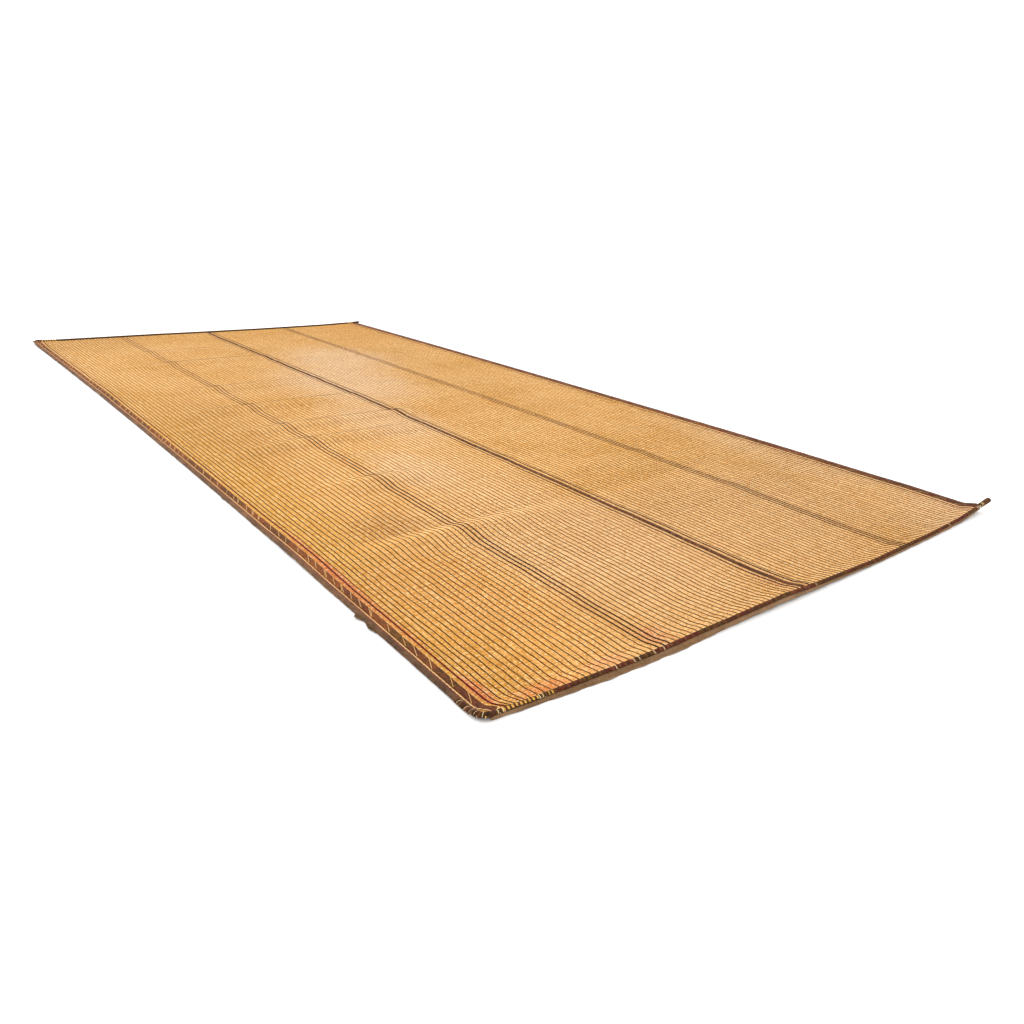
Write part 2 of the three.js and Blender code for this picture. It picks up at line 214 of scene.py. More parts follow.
@dataclass(frozen=True)
class MatForm:
    """The shape in which the mat lies, which every piece is laid on."""

    PLATEAU = 0.012  # an end is lifted whole this far in
    CURL_RUN = 0.165  # its gap closes over this run
    BEAD_RUN = 0.046  # the leather folded under an end thins out over this run
    EDGE_RUN = 0.042  # and the leather folded under a side over this one
    RIGHT_RUN = 0.30  # the gap under the right side closes inwards over this width
    RIGHT_ALONG = (-2.1355, -1.90, -1.50, -1.20, -0.60)  # places along the right side
    RIGHT_GAP = (0.009, 0.014, 0.012, 0.010, 0.009)  # the gap under it there
    DRAWN_FROM = 1.1  # the right side is drawn in from this far before the middle
    DRAWN_RUN = 0.8  # and fully so after this run

    width: float = 1.990
    length: float = 4.271
    inset: float = 0.008  # the reeds stop this far inside the bindings' outer faces
    thickness: float = 0.004
    side_bow: float = 0.023
    near_bow: float = 0.028
    far_slant: float = 0.058  # how much further the left side runs on at the far end
    drawn_in: float = 0.022  # the right side, towards the near end
    overhang: float = 0.12  # how far the form runs on past the mat, for what stands out
    row_step: float = 0.011
    columns: tuple[float, ...] = (
        -0.987, -0.945, -0.86, -0.77, -0.68, -0.59, -0.50, -0.41, -0.32, -0.22,
        -0.11, -0.03, 0.06, 0.16, 0.30, 0.64, 0.74, 0.84, 0.945, 0.987,
    )
    near_lift: Lift = Lift(
        across=(-0.995, -0.86, -0.54, -0.43, -0.11, 0.01, 0.16, 0.30, 0.64, 0.86, 0.995),
        gap=(0.002, 0, 0.001, 0.006, 0.013, 0.007, 0.004, 0, 0.001, 0.004, 0.016),
        under=0.0075,
    )
    far_lift: Lift = Lift(
        across=(-0.995, -0.86, -0.50, -0.30, -0.11, 0.23, 0.40, 0.74, 0.995),
        gap=(0.010, 0.0055, 0.005, 0.0045, 0.0025, 0.001, 0.0005, 0.0025, 0.008),
        under=0.002,
    )
    ripples: tuple[Ripple, ...] = (
        Ripple(-1.541, 0.007, 0.13, 0.11, 0.19, 0.40, 0.56, 0.80),
        Ripple(-1.366, 0.0115, 0.12, 0.06, -0.90, -0.60, -0.44, -0.08),
        Ripple(-1.270, 0.005, 0.32, 0.34, -1.30, -1.10, -0.95, -0.80),
        Ripple(-1.107, 0.005, 0.09, 0.08, -0.08, 0.16, 0.30, 0.45),
        Ripple(-0.872, 0.0105, 0.13, 0.055, -0.76, -0.56, -0.48, -0.23),
        Ripple(-0.550, 0.006, 1.50, 1.50, -0.90, -0.60, -0.25, 0.15),
        Ripple(-0.362, 0.009, 0.12, 0.055, -0.86, -0.56, -0.23, 0.06),
        Ripple(-0.132, 0.0085, 0.11, 0.055, -0.80, -0.50, -0.08, 0.16),
        Ripple(0.235, 0.0105, 0.15, 0.055, -0.86, -0.60, -0.23, 0.09),
        Ripple(0.637, 0.009, 0.12, 0.065, -0.76, -0.56, -0.23, 0.06),
        Ripple(0.750, 0.004, 0.30, 0.35, -1.30, -1.10, -0.95, -0.80),
        Ripple(1.278, 0.009, 0.11, 0.07, -0.86, -0.60, -0.16, 0.09),
        Ripple(1.612, 0.007, 0.10, 0.07, -0.76, -0.56, -0.30, 0.06),
    )

    @property
    def half_width(self) -> float:
        """From the middle of the mat to the outer face of a side binding."""
        return self.width / 2

    @property
    def half_length(self) -> float:
        """From the middle of the mat to the outer face of an end binding."""
        return self.length / 2

    @property
    def origin(self) -> Vector:
        """Where the middle of the mat lies in the frame, worked out from the reeds' box.

        Returns:
            The place on the ground.
        """
        low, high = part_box("reed_field")
        end = 1 - self.inset / self.half_length
        left = -self.half_width + self.inset + self.side_bow * (1 - end**2)
        slant = self.far_slant * (1 - self.inset / self.width) * end**4
        return Vector((low.x - left, high.y - (self.half_length - self.inset) - slant, 0))

    def height(self, across: np.ndarray, along: np.ndarray) -> np.ndarray:
        """The height of the reeds' underside over the ground.

        Args:
            across: places across the mat.
            along: places along the mat.

        Returns:
            The height at each place.
        """
        from_side = np.maximum(self.half_width - self.inset - np.abs(across), 0)
        edge = self.far_lift.under * np.maximum(1 - from_side / self.EDGE_RUN, 0)
        gap = np.where(across > 0, np.interp(along, self.RIGHT_ALONG, self.RIGHT_GAP), 0)
        side = edge + gap * smooth_rise(1 - from_side / self.RIGHT_RUN)
        near = self.near_lift.height(across, along + self.half_length)
        far = self.far_lift.height(across, self.half_length - along)
        rippled = sum(ripple.height(across, along) for ripple in self.ripples)
        return np.maximum.reduce([side, near, far, rippled])

    def points(self, across: np.ndarray, along: np.ndarray) -> np.ndarray:
        """Where places on the flat mat lie in the frame.

        Args:
            across: places across the mat.
            along: places along the mat.

        Returns:
            One row of x, y and z for each place.
        """
        nearness = np.maximum(-along / self.half_length, 0)
        bulge = self.near_bow * (1 - (across / self.half_width) ** 2) * nearness**2
        bow = self.side_bow * (1 - (along / self.half_length) ** 2)
        rightness = np.maximum(across / self.half_width, 0)
        drawn = self.drawn_in * smooth_rise((-along - self.DRAWN_FROM) / self.DRAWN_RUN)
        farness = np.maximum(along / self.half_length, 0)
        slant = self.far_slant * (1 - across / self.half_width) / 2 * farness**4
        x = across + bow - drawn * rightness**2 + self.origin.x
        y = along - bulge + slant + self.origin.y
        return np.stack([x, y, self.height(across, along)], axis=-1)

    def build(self) -> bpy.types.Object:
        """Makes the form as a hidden surface whose UV map is the flat mat.

        Returns:
            The form's object.
        """
        past = self.half_width + self.overhang
        columns = np.array([-past, *self.columns, past])
        reach = self.half_length + self.overhang
        rows = np.linspace(-reach, reach, round(2 * reach / self.row_step) + 1)
        across, along = np.meshgrid(columns, rows)
        flat = np.stack([across.ravel(), along.ravel()], axis=-1)
        wide = len(columns)
        first = np.arange(len(rows) - 1)[:, None] * wide + np.arange(wide - 1)[None]
        first = first.ravel()
        quads = np.stack([first, first + 1, first + 1 + wide, first + wide], axis=-1)
        mesh = bpy.data.meshes.new("mat_form")
        mesh.from_pydata(self.points(flat[:, 0], flat[:, 1]).tolist(), [], quads.tolist())
        uv = mesh.uv_layers.new(name=FLAT)
        uv.data.foreach_set("uv", flat[quads.ravel()].astype(np.float32).ravel())
        form = shown("mat_form", mesh)
        form.hide_render = True
        return form


# --- Node trees ---


class NodeBuilder:
    """Adds nodes to a tree and joins them, whether it is for geometry or for a material."""

    def __init__(self, tree: bpy.types.NodeTree) -> None:
        """Starts on a tree.

        Args:
            tree: the node tree to add to.
        """
        self.tree = tree

    def set(self, socket: Socket, value: Value) -> None:
        """Joins a socket to another or gives it a value.

        Args:
            socket: the input to set.
            value: another node's output, or the input's own value.
        """
        if isinstance(value, Socket):
            self.tree.links.new(value, socket)
        else:
            socket.default_value = value

    def node(
        self, kind: str, inputs: dict[str, Value] | None = None, **settings: object
    ) -> bpy.types.Node:
        """Adds a node.

        Args:
            kind: the node's type.
            inputs: its inputs by name.
            **settings: its own options, set first because they decide its inputs.

        Returns:
            The node.
        """
        made = self.tree.nodes.new(kind)
        for name, value in settings.items():
            setattr(made, name, value)
        for name, value in (inputs or {}).items():
            named = [socket for socket in made.inputs if socket.name == name]
            self.set(next((socket for socket in named if socket.enabled), named[0]), value)
        return made

    def math(self, operation: str, *values: Value) -> Socket:
        """Adds a Math node.

        Args:
            operation: what it does, such as ADD.
            *values: its operands, in order.

        Returns:
            The result.
        """
        made = self.tree.nodes.new("ShaderNodeMath")
        made.operation = operation
        for socket, value in zip(made.inputs, values):
            self.set(socket, value)
        return made.outputs[0]

    def plus(self, first: Value, second: Value) -> Socket:
        """Adds two values."""
        return self.math("ADD", first, second)

    def minus(self, first: Value, second: Value) -> Socket:
        """Takes the second value from the first."""
        return self.math("SUBTRACT", first, second)

    def times(self, first: Value, second: Value) -> Socket:
        """Multiplies two values."""
        return self.math("MULTIPLY", first, second)

    def over(self, first: Value, second: Value) -> Socket:
        """Divides the first value by the second."""
        return self.math("DIVIDE", first, second)

    def vector_math(self, operation: str, *values: Value) -> Socket:
        """Adds a Vector Math node whose result is a vector.

        Args:
            operation: what it does, such as ADD.
            *values: its vectors, in order. For SCALE, the second is the factor.

        Returns:
            The result.
        """
        made = self.tree.nodes.new("ShaderNodeVectorMath")
        made.operation = operation
        sockets = [made.inputs[0], made.inputs["Scale"]] if operation == "SCALE" else made.inputs
        for socket, value in zip(sockets, values):
            self.set(socket, value)
        return made.outputs[0]

    def combine(self, x: Value, y: Value, z: Value = 0.0) -> Socket:
        """Makes a vector of three values."""
        return self.node("ShaderNodeCombineXYZ", {"X": x, "Y": y, "Z": z}).outputs[0]

    def separate(self, vector: Socket) -> list[Socket]:
        """Takes a vector apart into its three values."""
        return list(self.node("ShaderNodeSeparateXYZ", {"Vector": vector}).outputs)

    def noise(self, vector: Value, scale: Value, detail: float = 2.0) -> Socket:
        """Adds a noise that swings round one half.

        Args:
            vector: where to read the noise.
            scale: how many swings to the metre.
            detail: how many finer layers it has.

        Returns:
            The noise, from 0 to 1.
        """
        inputs = {"Vector": vector, "Scale": scale, "Detail": detail}
        return self.node("ShaderNodeTexNoise", inputs, noise_dimensions="3D").outputs[0]

    def mix(self, share: Value, first: Value, second: Value) -> Socket:
        """Mixes two colours.

        Args:
            share: how much of the second there is, from 0 to 1.
            first: the first colour.
            second: the second colour.

        Returns:
            The mixed colour.
        """
        made = self.node("ShaderNodeMix", data_type="RGBA")
        for index, value in ((0, share), (6, first), (7, second)):
            self.set(made.inputs[index], value)
        return made.outputs[2]

    def remap(
        self, value: Value, low: Value, high: Value, to_low: Value = 0.0, to_high: Value = 1.0
    ) -> Socket:
        """Maps a range onto another with soft ends.

        Args:
            value: what to map.
            low: where the first range starts.
            high: where it ends.
            to_low: what its start becomes.
            to_high: what its end becomes.

        Returns:
            The mapped value.
        """
        inputs = {"Value": value, "From Min": low, "From Max": high}
        inputs |= {"To Min": to_low, "To Max": to_high}
        return self.node("ShaderNodeMapRange", inputs, interpolation_type="SMOOTHSTEP").outputs[0]


def tree_socket(
    tree: bpy.types.NodeTree, name: str, kind: str, out: bool = False, default: object = None
) -> None:
    """Adds a named input or output to a node group.

    Args:
        tree: the group.
        name: the socket's name.
        kind: the socket's type, such as Float.
        out: whether it is an output.
        default: the input's value until something sets it.
    """
    made = tree.interface.new_socket(
        name=name, in_out="OUTPUT" if out else "INPUT", socket_type=f"NodeSocket{kind}"
    )
    if default is not None:
        made.default_value = default


class GeometryTree(NodeBuilder):
    """A geometry tree that takes seed lines and ends in one finished mesh."""

    SIZES: tuple[str, ...] = ()
    COUNTS: tuple[str, ...] = ()

    def __init__(self, name: str) -> None:
        """Makes the tree with its inputs.

        Args:
            name: the tree's name.
        """
        super().__init__(bpy.data.node_groups.new(name, "GeometryNodeTree"))
        kinds = {"Geometry": "Geometry", "Form": "Object", "Material": "Material"}
        kinds |= dict.fromkeys(self.SIZES, "Float") | dict.fromkeys((*self.COUNTS, "Seed"), "Int")
        for label, kind in kinds.items():
            tree_socket(self.tree, label, kind)
        tree_socket(self.tree, "Geometry", "Geometry", out=True)
        self.given = self.node("NodeGroupInput").outputs
        self.finish(self.make())

    def make(self) -> Socket:
        """Builds the flat geometry.

        Returns:
            The geometry's socket.
        """
        raise NotImplementedError

    def attribute(self, name: str, data_type: str) -> Socket:
        """Reads a named attribute of the given type."""
        inputs = {"Name": name}
        return self.node("GeometryNodeInputNamedAttribute", inputs, data_type=data_type).outputs[0]

    def drawn(self) -> Socket:
        """Turns the seed lines into curves."""
        return self.node("GeometryNodeMeshToCurve", {"Mesh": self.given["Geometry"]}).outputs[0]

    def stepped(self, line: Socket, step: Value) -> Socket:
        """Draws a line anew, with its points one step apart."""
        inputs = {"Curve": line, "Length": step}
        return self.node("GeometryNodeResampleCurve", inputs, mode="LENGTH").outputs[0]

    def travelled(self) -> Socket:
        """How far along its line each point is."""
        return self.node("GeometryNodeSplineParameter").outputs["Length"]

    def aside(self) -> Socket:
        """The level direction square to the line."""
        tangent = self.node("GeometryNodeInputTangent").outputs[0]
        return self.vector_math("CROSS_PRODUCT", tangent, (0.0, 0.0, 1.0))

    def swept(
        self, line: Socket, sides: Value, sizes: tuple[Value, Value], swell: Value = 1.0,
        turn: float = 0.0,
    ) -> Socket:
        """Draws a section along a line, closed at both ends.

        Args:
            line: the line.
            sides: how many sides the section has.
            sizes: the section's two sizes.
            swell: how many times larger than that it is, point by point.
            turn: how far it is turned before it gets its sizes.

        Returns:
            The mesh.
        """
        inputs = {"Resolution": sides, "Radius": 0.5}
        circle = self.node("GeometryNodeCurvePrimitiveCircle", inputs, mode="RADIUS")
        inputs = {"Geometry": circle.outputs["Curve"], "Rotation": (0.0, 0.0, turn)}
        turned = self.node("GeometryNodeTransform", inputs)
        inputs = {"Geometry": turned.outputs[0], "Scale": self.combine(*sizes, 1.0)}
        section = self.node("GeometryNodeTransform", inputs)
        inputs = {"Curve": line, "Profile Curve": section.outputs[0], "Scale": swell}
        return self.node("GeometryNodeCurveToMesh", inputs | {"Fill Caps": True}).outputs[0]

    def finish(self, flat: Socket) -> None:
        """Lays the flat geometry on the form, and ends the tree.

        Args:
            flat: the geometry laid out flat, with z as the height over the reeds' underside.
        """
        place = self.node("GeometryNodeInputPosition").outputs[0]
        inputs = {"Geometry": flat, "Name": FLAT, "Value": place}
        settings = {"data_type": "FLOAT2", "domain": "CORNER"}
        kept = self.node("GeometryNodeStoreNamedAttribute", inputs, **settings)
        across, along, up = self.separate(place)
        form = self.node("GeometryNodeObjectInfo", {"Object": self.given["Form"]})
        inputs = {"Mesh": form.outputs["Geometry"], "UV Map": self.attribute(FLAT, "FLOAT_VECTOR")}
        inputs["Sample UV"] = self.combine(across, along)
        sampled = []
        for value in (place, self.node("GeometryNodeInputNormal").outputs[0]):
            inputs["Value"] = value
            sample = self.node("GeometryNodeSampleUVSurface", inputs, data_type="FLOAT_VECTOR")
            sampled.append(sample.outputs[0])
        ground, normal = sampled
        raised = self.vector_math("ADD", ground, self.vector_math("SCALE", normal, up))
        x, y, z = self.separate(raised)
        grounded = self.combine(x, y, self.math("MAXIMUM", z, 0.0))
        inputs = {"Geometry": kept.outputs[0], "Position": grounded}
        laid = self.node("GeometryNodeSetPosition", inputs)
        smooth = self.node("GeometryNodeSetShadeSmooth", {"Geometry": laid.outputs[0]})
        real = self.node("GeometryNodeRealizeInstances", {"Geometry": smooth.outputs[0]})
        inputs = {"Geometry": real.outputs[0], "Material": self.given["Material"]}
        made = self.node("GeometryNodeSetMaterial", inputs)
        self.node("NodeGroupOutput", {"Geometry": made.outputs[0]})


class StrandTree(GeometryTree):
    """Turns seed lines into strands: reeds, thongs, cords, stitches, strips and rolls.

    A strand's line is drawn at a step and wanders sideways. It is given a section whose size
    swells at a pitch and is uneven besides, and which may twist.
    """

    SIZES = (
        "Step", "Width", "Height", "Swell", "Swell Pitch", "Twist Pitch", "Wander",
        "Wander Pitch", "Uneven",
    )  # a step of 0 keeps the seed line's own points
    COUNTS = ("Sides",)
    APART = 97.0  # sets the swings of strands with different tones apart
    LUMPS = 60.0  # how many times to the metre an uneven strand thickens

    def make(self) -> Socket:
        """Builds the flat strands.

        Returns:
            The geometry's socket.
        """
        given, drawn = self.given, self.drawn()
        inputs = {"Switch": self.math("GREATER_THAN", given["Step"], 0.0)}
        inputs |= {"False": drawn, "True": self.stepped(drawn, given["Step"])}
        line = self.node("GeometryNodeSwitch", inputs, input_type="GEOMETRY").outputs[0]
        far = self.travelled()
        key = self.plus(self.times(self.attribute(TONE, "FLOAT"), self.APART), given["Seed"])
        turns = self.over(far, given["Wander Pitch"])
        swing = self.minus(self.noise(self.combine(turns, key), 1.0, 1.0), 0.5)
        wander = self.times(swing, self.times(given["Wander"], 2.0))
        inputs = {"Geometry": line, "Offset": self.vector_math("SCALE", self.aside(), wander)}
        bent = self.node("GeometryNodeSetPosition", inputs).outputs[0]
        upright = self.node("GeometryNodeSetCurveNormal", {"Curve": bent}, mode="Z_UP").outputs[0]
        twist = self.times(self.over(far, given["Twist Pitch"]), math.tau)
        twisted = self.node("GeometryNodeSetCurveTilt", {"Curve": upright, "Tilt": twist})
        beat = self.times(self.over(far, given["Swell Pitch"]), math.tau)
        swell = self.times(self.math("SINE", self.plus(beat, key)), given["Swell"])
        rough = self.noise(self.combine(self.times(far, self.LUMPS), key, 5.0), 1.0)
        uneven = self.times(self.minus(rough, 0.5), given["Uneven"])
        size = self.plus(self.plus(swell, uneven), 1.0)
        sizes = (given["Width"], given["Height"])
        return self.swept(twisted.outputs[0], given["Sides"], sizes, size, -math.pi / 2)


class WindingTree(GeometryTree):
    """Winds a flat thong round each seed line, turn against turn."""

    # "Turn" is how far the thong moves on while it goes once round.
    SIZES = ("Turn", "Roll Width", "Roll Height", "Thong Width", "Thong Height", "Uneven")
    POINTS_PER_TURN = 10
    SIDES = 4
    APART = 7.3  # sets the windings of different seeds apart
    LUMPS = 90.0  # how many times to the metre an uneven winding stands off its roll

    def make(self) -> Socket:
        """Builds the flat windings.

        Returns:
            The geometry's socket.
        """
        given = self.given
        line = self.stepped(self.drawn(), self.over(given["Turn"], self.POINTS_PER_TURN))
        far, key = self.travelled(), self.times(given["Seed"], self.APART)
        angle = self.plus(self.times(self.over(far, given["Turn"]), math.tau), key)
        rough = self.noise(self.combine(self.times(far, self.LUMPS), key), 1.0)
        loose = self.plus(self.times(self.minus(rough, 0.4), given["Uneven"]), 1.0)
        reach = self.times(loose, 0.5)
        outward = self.vector_math("SCALE", self.aside(), self.math("COSINE", angle))
        upward = self.combine(0.0, 0.0, self.math("SINE", angle))
        wide = self.vector_math("SCALE", outward, self.times(given["Roll Width"], reach))
        high = self.vector_math("SCALE", upward, self.times(given["Roll Height"], reach))
        inputs = {"Curve": line, "Normal": self.vector_math("ADD", outward, upward)}
        facing = self.node("GeometryNodeSetCurveNormal", inputs, mode="FREE").outputs[0]
        inputs = {"Geometry": facing, "Offset": self.vector_math("ADD", wide, high)}
        wound = self.node("GeometryNodeSetPosition", inputs).outputs[0]
        return self.swept(wound, self.SIDES, (given["Thong Height"], given["Thong Width"]))


# --- Making pieces ---


@dataclass
class SeedLine:
    """One line laid out flat, which a strand or a winding follows."""

    points: list[Point]
    tone: float = 0.5
    dye: Dye = Dye.UMBER


@dataclass
class Workshop:
    """Makes finished pieces from seed lines, on one form, and mounts them on the frame."""

    mat: MatForm
    finishes: dict[str, bpy.types.Material]
    chance: random.Random = field(default_factory=lambda: random.Random(41))
    # each slip's size, then how fast it swings along and across the mat, and its phase
    slips: tuple[tuple[float, float, float, float], ...] = (
        (0.0009, 19, 7, 0), (0.0006, 41, -11, 1.3),
    )
    pulled: float = 0.005  # how far lines right of the middle are pulled aside near the near end
    turned_at: Point = (-0.96, -0.90, -0.88)  # lines by the left side turn in at the near end
    turned: Point = (0.018, 0.006, 0)  # by this much
    turned_from: float = 0.040  # starting this far from the end
    turned_run: float = 0.030
    form: bpy.types.Object = field(init=False)
    strands: StrandTree = field(default_factory=lambda: StrandTree("Strands"))
    windings: WindingTree = field(default_factory=lambda: WindingTree("Windings"))
    made: list[bpy.types.Object] = field(default_factory=list)

    def __post_init__(self) -> None:
        """Builds the form."""
        self.form = self.mat.build()

    def from_side(self, side: Side, distance: float) -> float:
        """The place across the mat at a distance in from a side's outer face."""
        return side.value * (self.mat.half_width - distance)

    def from_end(self, end: End, distance: float) -> float:
        """The place along the mat at a distance in from an end's outer face."""
        return end.value * (self.mat.half_length - distance)

    def laid(self, across: float, along: float) -> float:
        """Where a line that runs along the mat lies across it at one place.

        The lines slip sideways a little, all together, and those by the left side turn in
        where they meet the near end.

        Args:
            across: the line's own place across the mat.
            along: the place along the mat.

        Returns:
            The line's place across the mat there.
        """
        slip = sum(
            size * math.sin(fast * along + wide * across + phase)
            for size, fast, wide, phase in self.slips
        )
        pull = ramp(across, -0.35, 0.3) * ramp(-along, 1.65, 0.3)
        slip -= self.pulled * pull
        loose = 1 - ramp(abs(across), 0.70, 0.20)
        from_end = along + self.mat.half_length
        close = min(max((self.turned_from - from_end) / self.turned_run, 0), 1)
        turned = float(np.interp(across, self.turned_at, self.turned))
        return across + slip * loose + turned * close**2

    def run_along(self, across: float, up: float, step: float, ends: float = 0.010) -> list[Point]:
        """A line from end to end of the mat.

        Args:
            across: its place across the mat.
            up: its height over the reeds' underside.
            step: about how far apart its points are.
            ends: how far in from the mat's ends it stops.

        Returns:
            The line's points.
        """
        reach = self.mat.half_length - ends
        count = round(2 * reach / step) + 1
        places = np.linspace(-reach, reach, count).tolist()
        return [(self.laid(across, along), along, up) for along in places]

    def seeds(self, name: str, lines: Sequence[SeedLine]) -> bpy.types.Object:
        """Makes an object of loose lines, each with its tone and its dye.

        Args:
            name: the object's name.
            lines: the lines.

        Returns:
            The object, linked to the scene.
        """
        points, edges, tones, dyes = [], [], [], []
        for line in lines:
            first = len(points)
            points += line.points
            edges += [(first + i, first + i + 1) for i in range(len(line.points) - 1)]
            tones += [line.tone] * len(line.points)
            dyes += list(line.dye.linear) * len(line.points)
        mesh = bpy.data.meshes.new(name)
        mesh.from_pydata(points, edges, [])
        mesh.attributes.new(TONE, "FLOAT", "POINT").data.foreach_set("value", tones)
        mesh.attributes.new(DYE, "FLOAT_COLOR", "POINT").data.foreach_set("color", dyes)
        return shown(name, mesh)

    def piece(
        self, name: str, lines: Sequence[SeedLine], tree: GeometryTree, finish: str, slot: str,
        replaces: Sequence[str] = (), **sizes: float,
    ) -> bpy.types.Object:
        """Makes one piece and mounts it.

        Args:
            name: the piece's name.
            lines: the seed lines it follows.
            tree: the tree that builds it.
            finish: its finish's name.
            slot: the record's material slot; not used.
            replaces: the frame's nodes that it stands for.
            **sizes: the tree's inputs, with _ for each space in a name.

        Returns:
            The piece, as a plain mesh.
        """
        made = self.seeds(name, lines)
        modifier = made.modifiers.new("Build", "NODES")
        modifier.node_group = tree.tree
        wanted = {key.replace("_", " "): value for key, value in sizes.items()}
        wanted |= {"Form": self.form, "Material": self.finishes[finish]}
        for item in tree.tree.interface.items_tree:
            if item.item_type == "SOCKET" and item.in_out == "INPUT" and item.name != "Geometry":
                if item.name in wanted:
                    modifier[item.identifier] = wanted.pop(item.name)
                elif item.name in ("Twist Pitch", "Swell Pitch", "Wander Pitch"):
                    modifier[item.identifier] = ENDLESS
        if wanted:
            raise ValueError(f"{name}: the tree has no inputs named {sorted(wanted)}")
        bpy.context.view_layer.update()
        evaluated = made.evaluated_get(bpy.context.evaluated_depsgraph_get())
        mesh = bpy.data.meshes.new_from_object(evaluated)
        made.modifiers.clear()
        seeds, made.data = made.data, mesh
        bpy.data.meshes.remove(seeds)
        mesh.name = name
        self.face_outwards(mesh)
        return self.mount(made, replaces)

    def loft(
        self, name: str, rings: np.ndarray, finish: str, replaces: Sequence[str],
        dye: Dye,
    ) -> None:
        """Makes a closed skin over a row of rings and mounts it.

        Args:
            name: the piece's name.
            rings: the rings' flat places, by ring, by point, and then across, along and up.
            finish: its finish's name.
            replaces: the frame's nodes that it stands for.
            dye: its colour.
        """
        count, sides = rings.shape[:2]
        flat = rings.reshape(-1, 3)
        points = self.mat.points(flat[:, 0], flat[:, 1])
        points[:, 2] = np.maximum(points[:, 2] + flat[:, 2], 0)
        last = (count - 1) * sides
        faces = []
        for first in range(0, last, sides):
            for corner in range(sides):
                here, beside = first + corner, first + (corner + 1) % sides
                faces.append((here, beside, beside + sides, here + sides))
        faces += [tuple(range(sides))[::-1], tuple(range(last, last + sides))]
        mesh = bpy.data.meshes.new(name)
        mesh.from_pydata(points.tolist(), [], faces)
        corners = np.empty(len(mesh.loops), np.int32)
        mesh.loops.foreach_get("vertex_index", corners)
        uv = mesh.uv_layers.new(name=FLAT)
        uv.data.foreach_set("uv", flat[corners, :2].astype(np.float32).ravel())
        colours = list(dye.linear) * len(mesh.vertices)
        mesh.attributes.new(DYE, "FLOAT_COLOR", "POINT").data.foreach_set("color", colours)
        mesh.materials.append(self.finishes[finish])
        self.face_outwards(mesh)
        self.mount(shown(name, mesh), replaces)

    @staticmethod
    def face_outwards(mesh: bpy.types.Mesh) -> None:
        """Turns all faces over if together they enclose a negative volume.

        Args:
            mesh: a closed mesh.
        """
        mesh.calc_loop_triangles()
        points = np.empty(len(mesh.vertices) * 3, np.float32)
        mesh.vertices.foreach_get("co", points)
        corners = np.empty(len(mesh.loop_triangles) * 3, np.int32)
        mesh.loop_triangles.foreach_get("vertices", corners)
        a, b, c = points.reshape(-1, 3)[corners.reshape(-1, 3)].transpose(1, 0, 2).astype(float)
        if (a * np.cross(b, c)).sum() < 0:
            mesh.flip_normals()

    def mount(self, made: bpy.types.Object, replaces: Sequence[str]) -> bpy.types.Object:
        """Fixes a piece to the frame and reports it.

        Args:
            made: the piece.
            replaces: the frame's nodes that it stands for.

        Returns:
            The piece.
        """
        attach(made, BODY)
        if replaces:
            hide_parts(*replaces)
        self.made.append(made)
        made.data.calc_loop_triangles()
        LOG.info("%s: %d triangles", made.name, len(made.data.loop_triangles))
        return made


# --- Finishes ---


class ShaderGroup(NodeBuilder):
    """A shader node group with named inputs and outputs, built once for all finishes."""

    NAME = ""
    INPUTS: tuple[tuple[str, str, object], ...] = ()
    OUTPUTS: tuple[tuple[str, str], ...] = ()

    def __init__(self) -> None:
        """Makes the group."""
        super().__init__(bpy.data.node_groups.new(self.NAME, "ShaderNodeTree"))
        for name, kind, default in self.INPUTS:
            tree_socket(self.tree, name, kind, default=default)
        for name, kind in self.OUTPUTS:
            tree_socket(self.tree, name, kind, out=True)
        self.given = self.node("NodeGroupInput").outputs
        results = dict(zip((name for name, _ in self.OUTPUTS), self.make()))
        self.node("NodeGroupOutput", results)

    def make(self) -> list[Socket]:
        """Builds the effect.

        Returns:
            One socket for each of the group's outputs.
        """
        raise NotImplementedError

    def place(self, builder: NodeBuilder, inputs: dict[str, Value]) -> list[Socket]:
        """Places the group in a material.

        Args:
            builder: the material's builder.
            inputs: the group's inputs by name.

        Returns:
            The group's outputs, in order.
        """
        made = builder.tree.nodes.new("ShaderNodeGroup")
        made.node_tree = self.tree
        for name, value in inputs.items():
            builder.set(made.inputs[name], value)
        return list(made.outputs)


class FibreGroup(ShaderGroup):
    """Long fibres that run one way, with darker streaks and small flecks."""

    NAME = "Fibres"
    INPUTS = (("Vector", "Vector", None), ("Tone", "Float", 0.5), ("Grain", "Vector", (1, 1, 1)))
    OUTPUTS = (("Streak", "Float"), ("Fleck", "Float"), ("Height", "Float"))

    def make(self) -> list[Socket]:
        """Builds the fibres.

        Returns:
            The streaks, the flecks and the height.
        """
        given = self.given
        drawn = self.vector_math("MULTIPLY", given["Vector"], given["Grain"])
        shift = self.combine(0.0, 0.0, self.times(given["Tone"], 41.0))
        place = self.vector_math("ADD", drawn, shift)
        streak = self.noise(place, 1.0, 3.0)
        fine = self.noise(place, 4.0, 2.0)
        fleck = self.remap(fine, 0.66, 0.76)
        height = self.plus(streak, self.times(fine, 0.4))
        return [self.remap(streak, 0.3, 0.7), fleck, height]


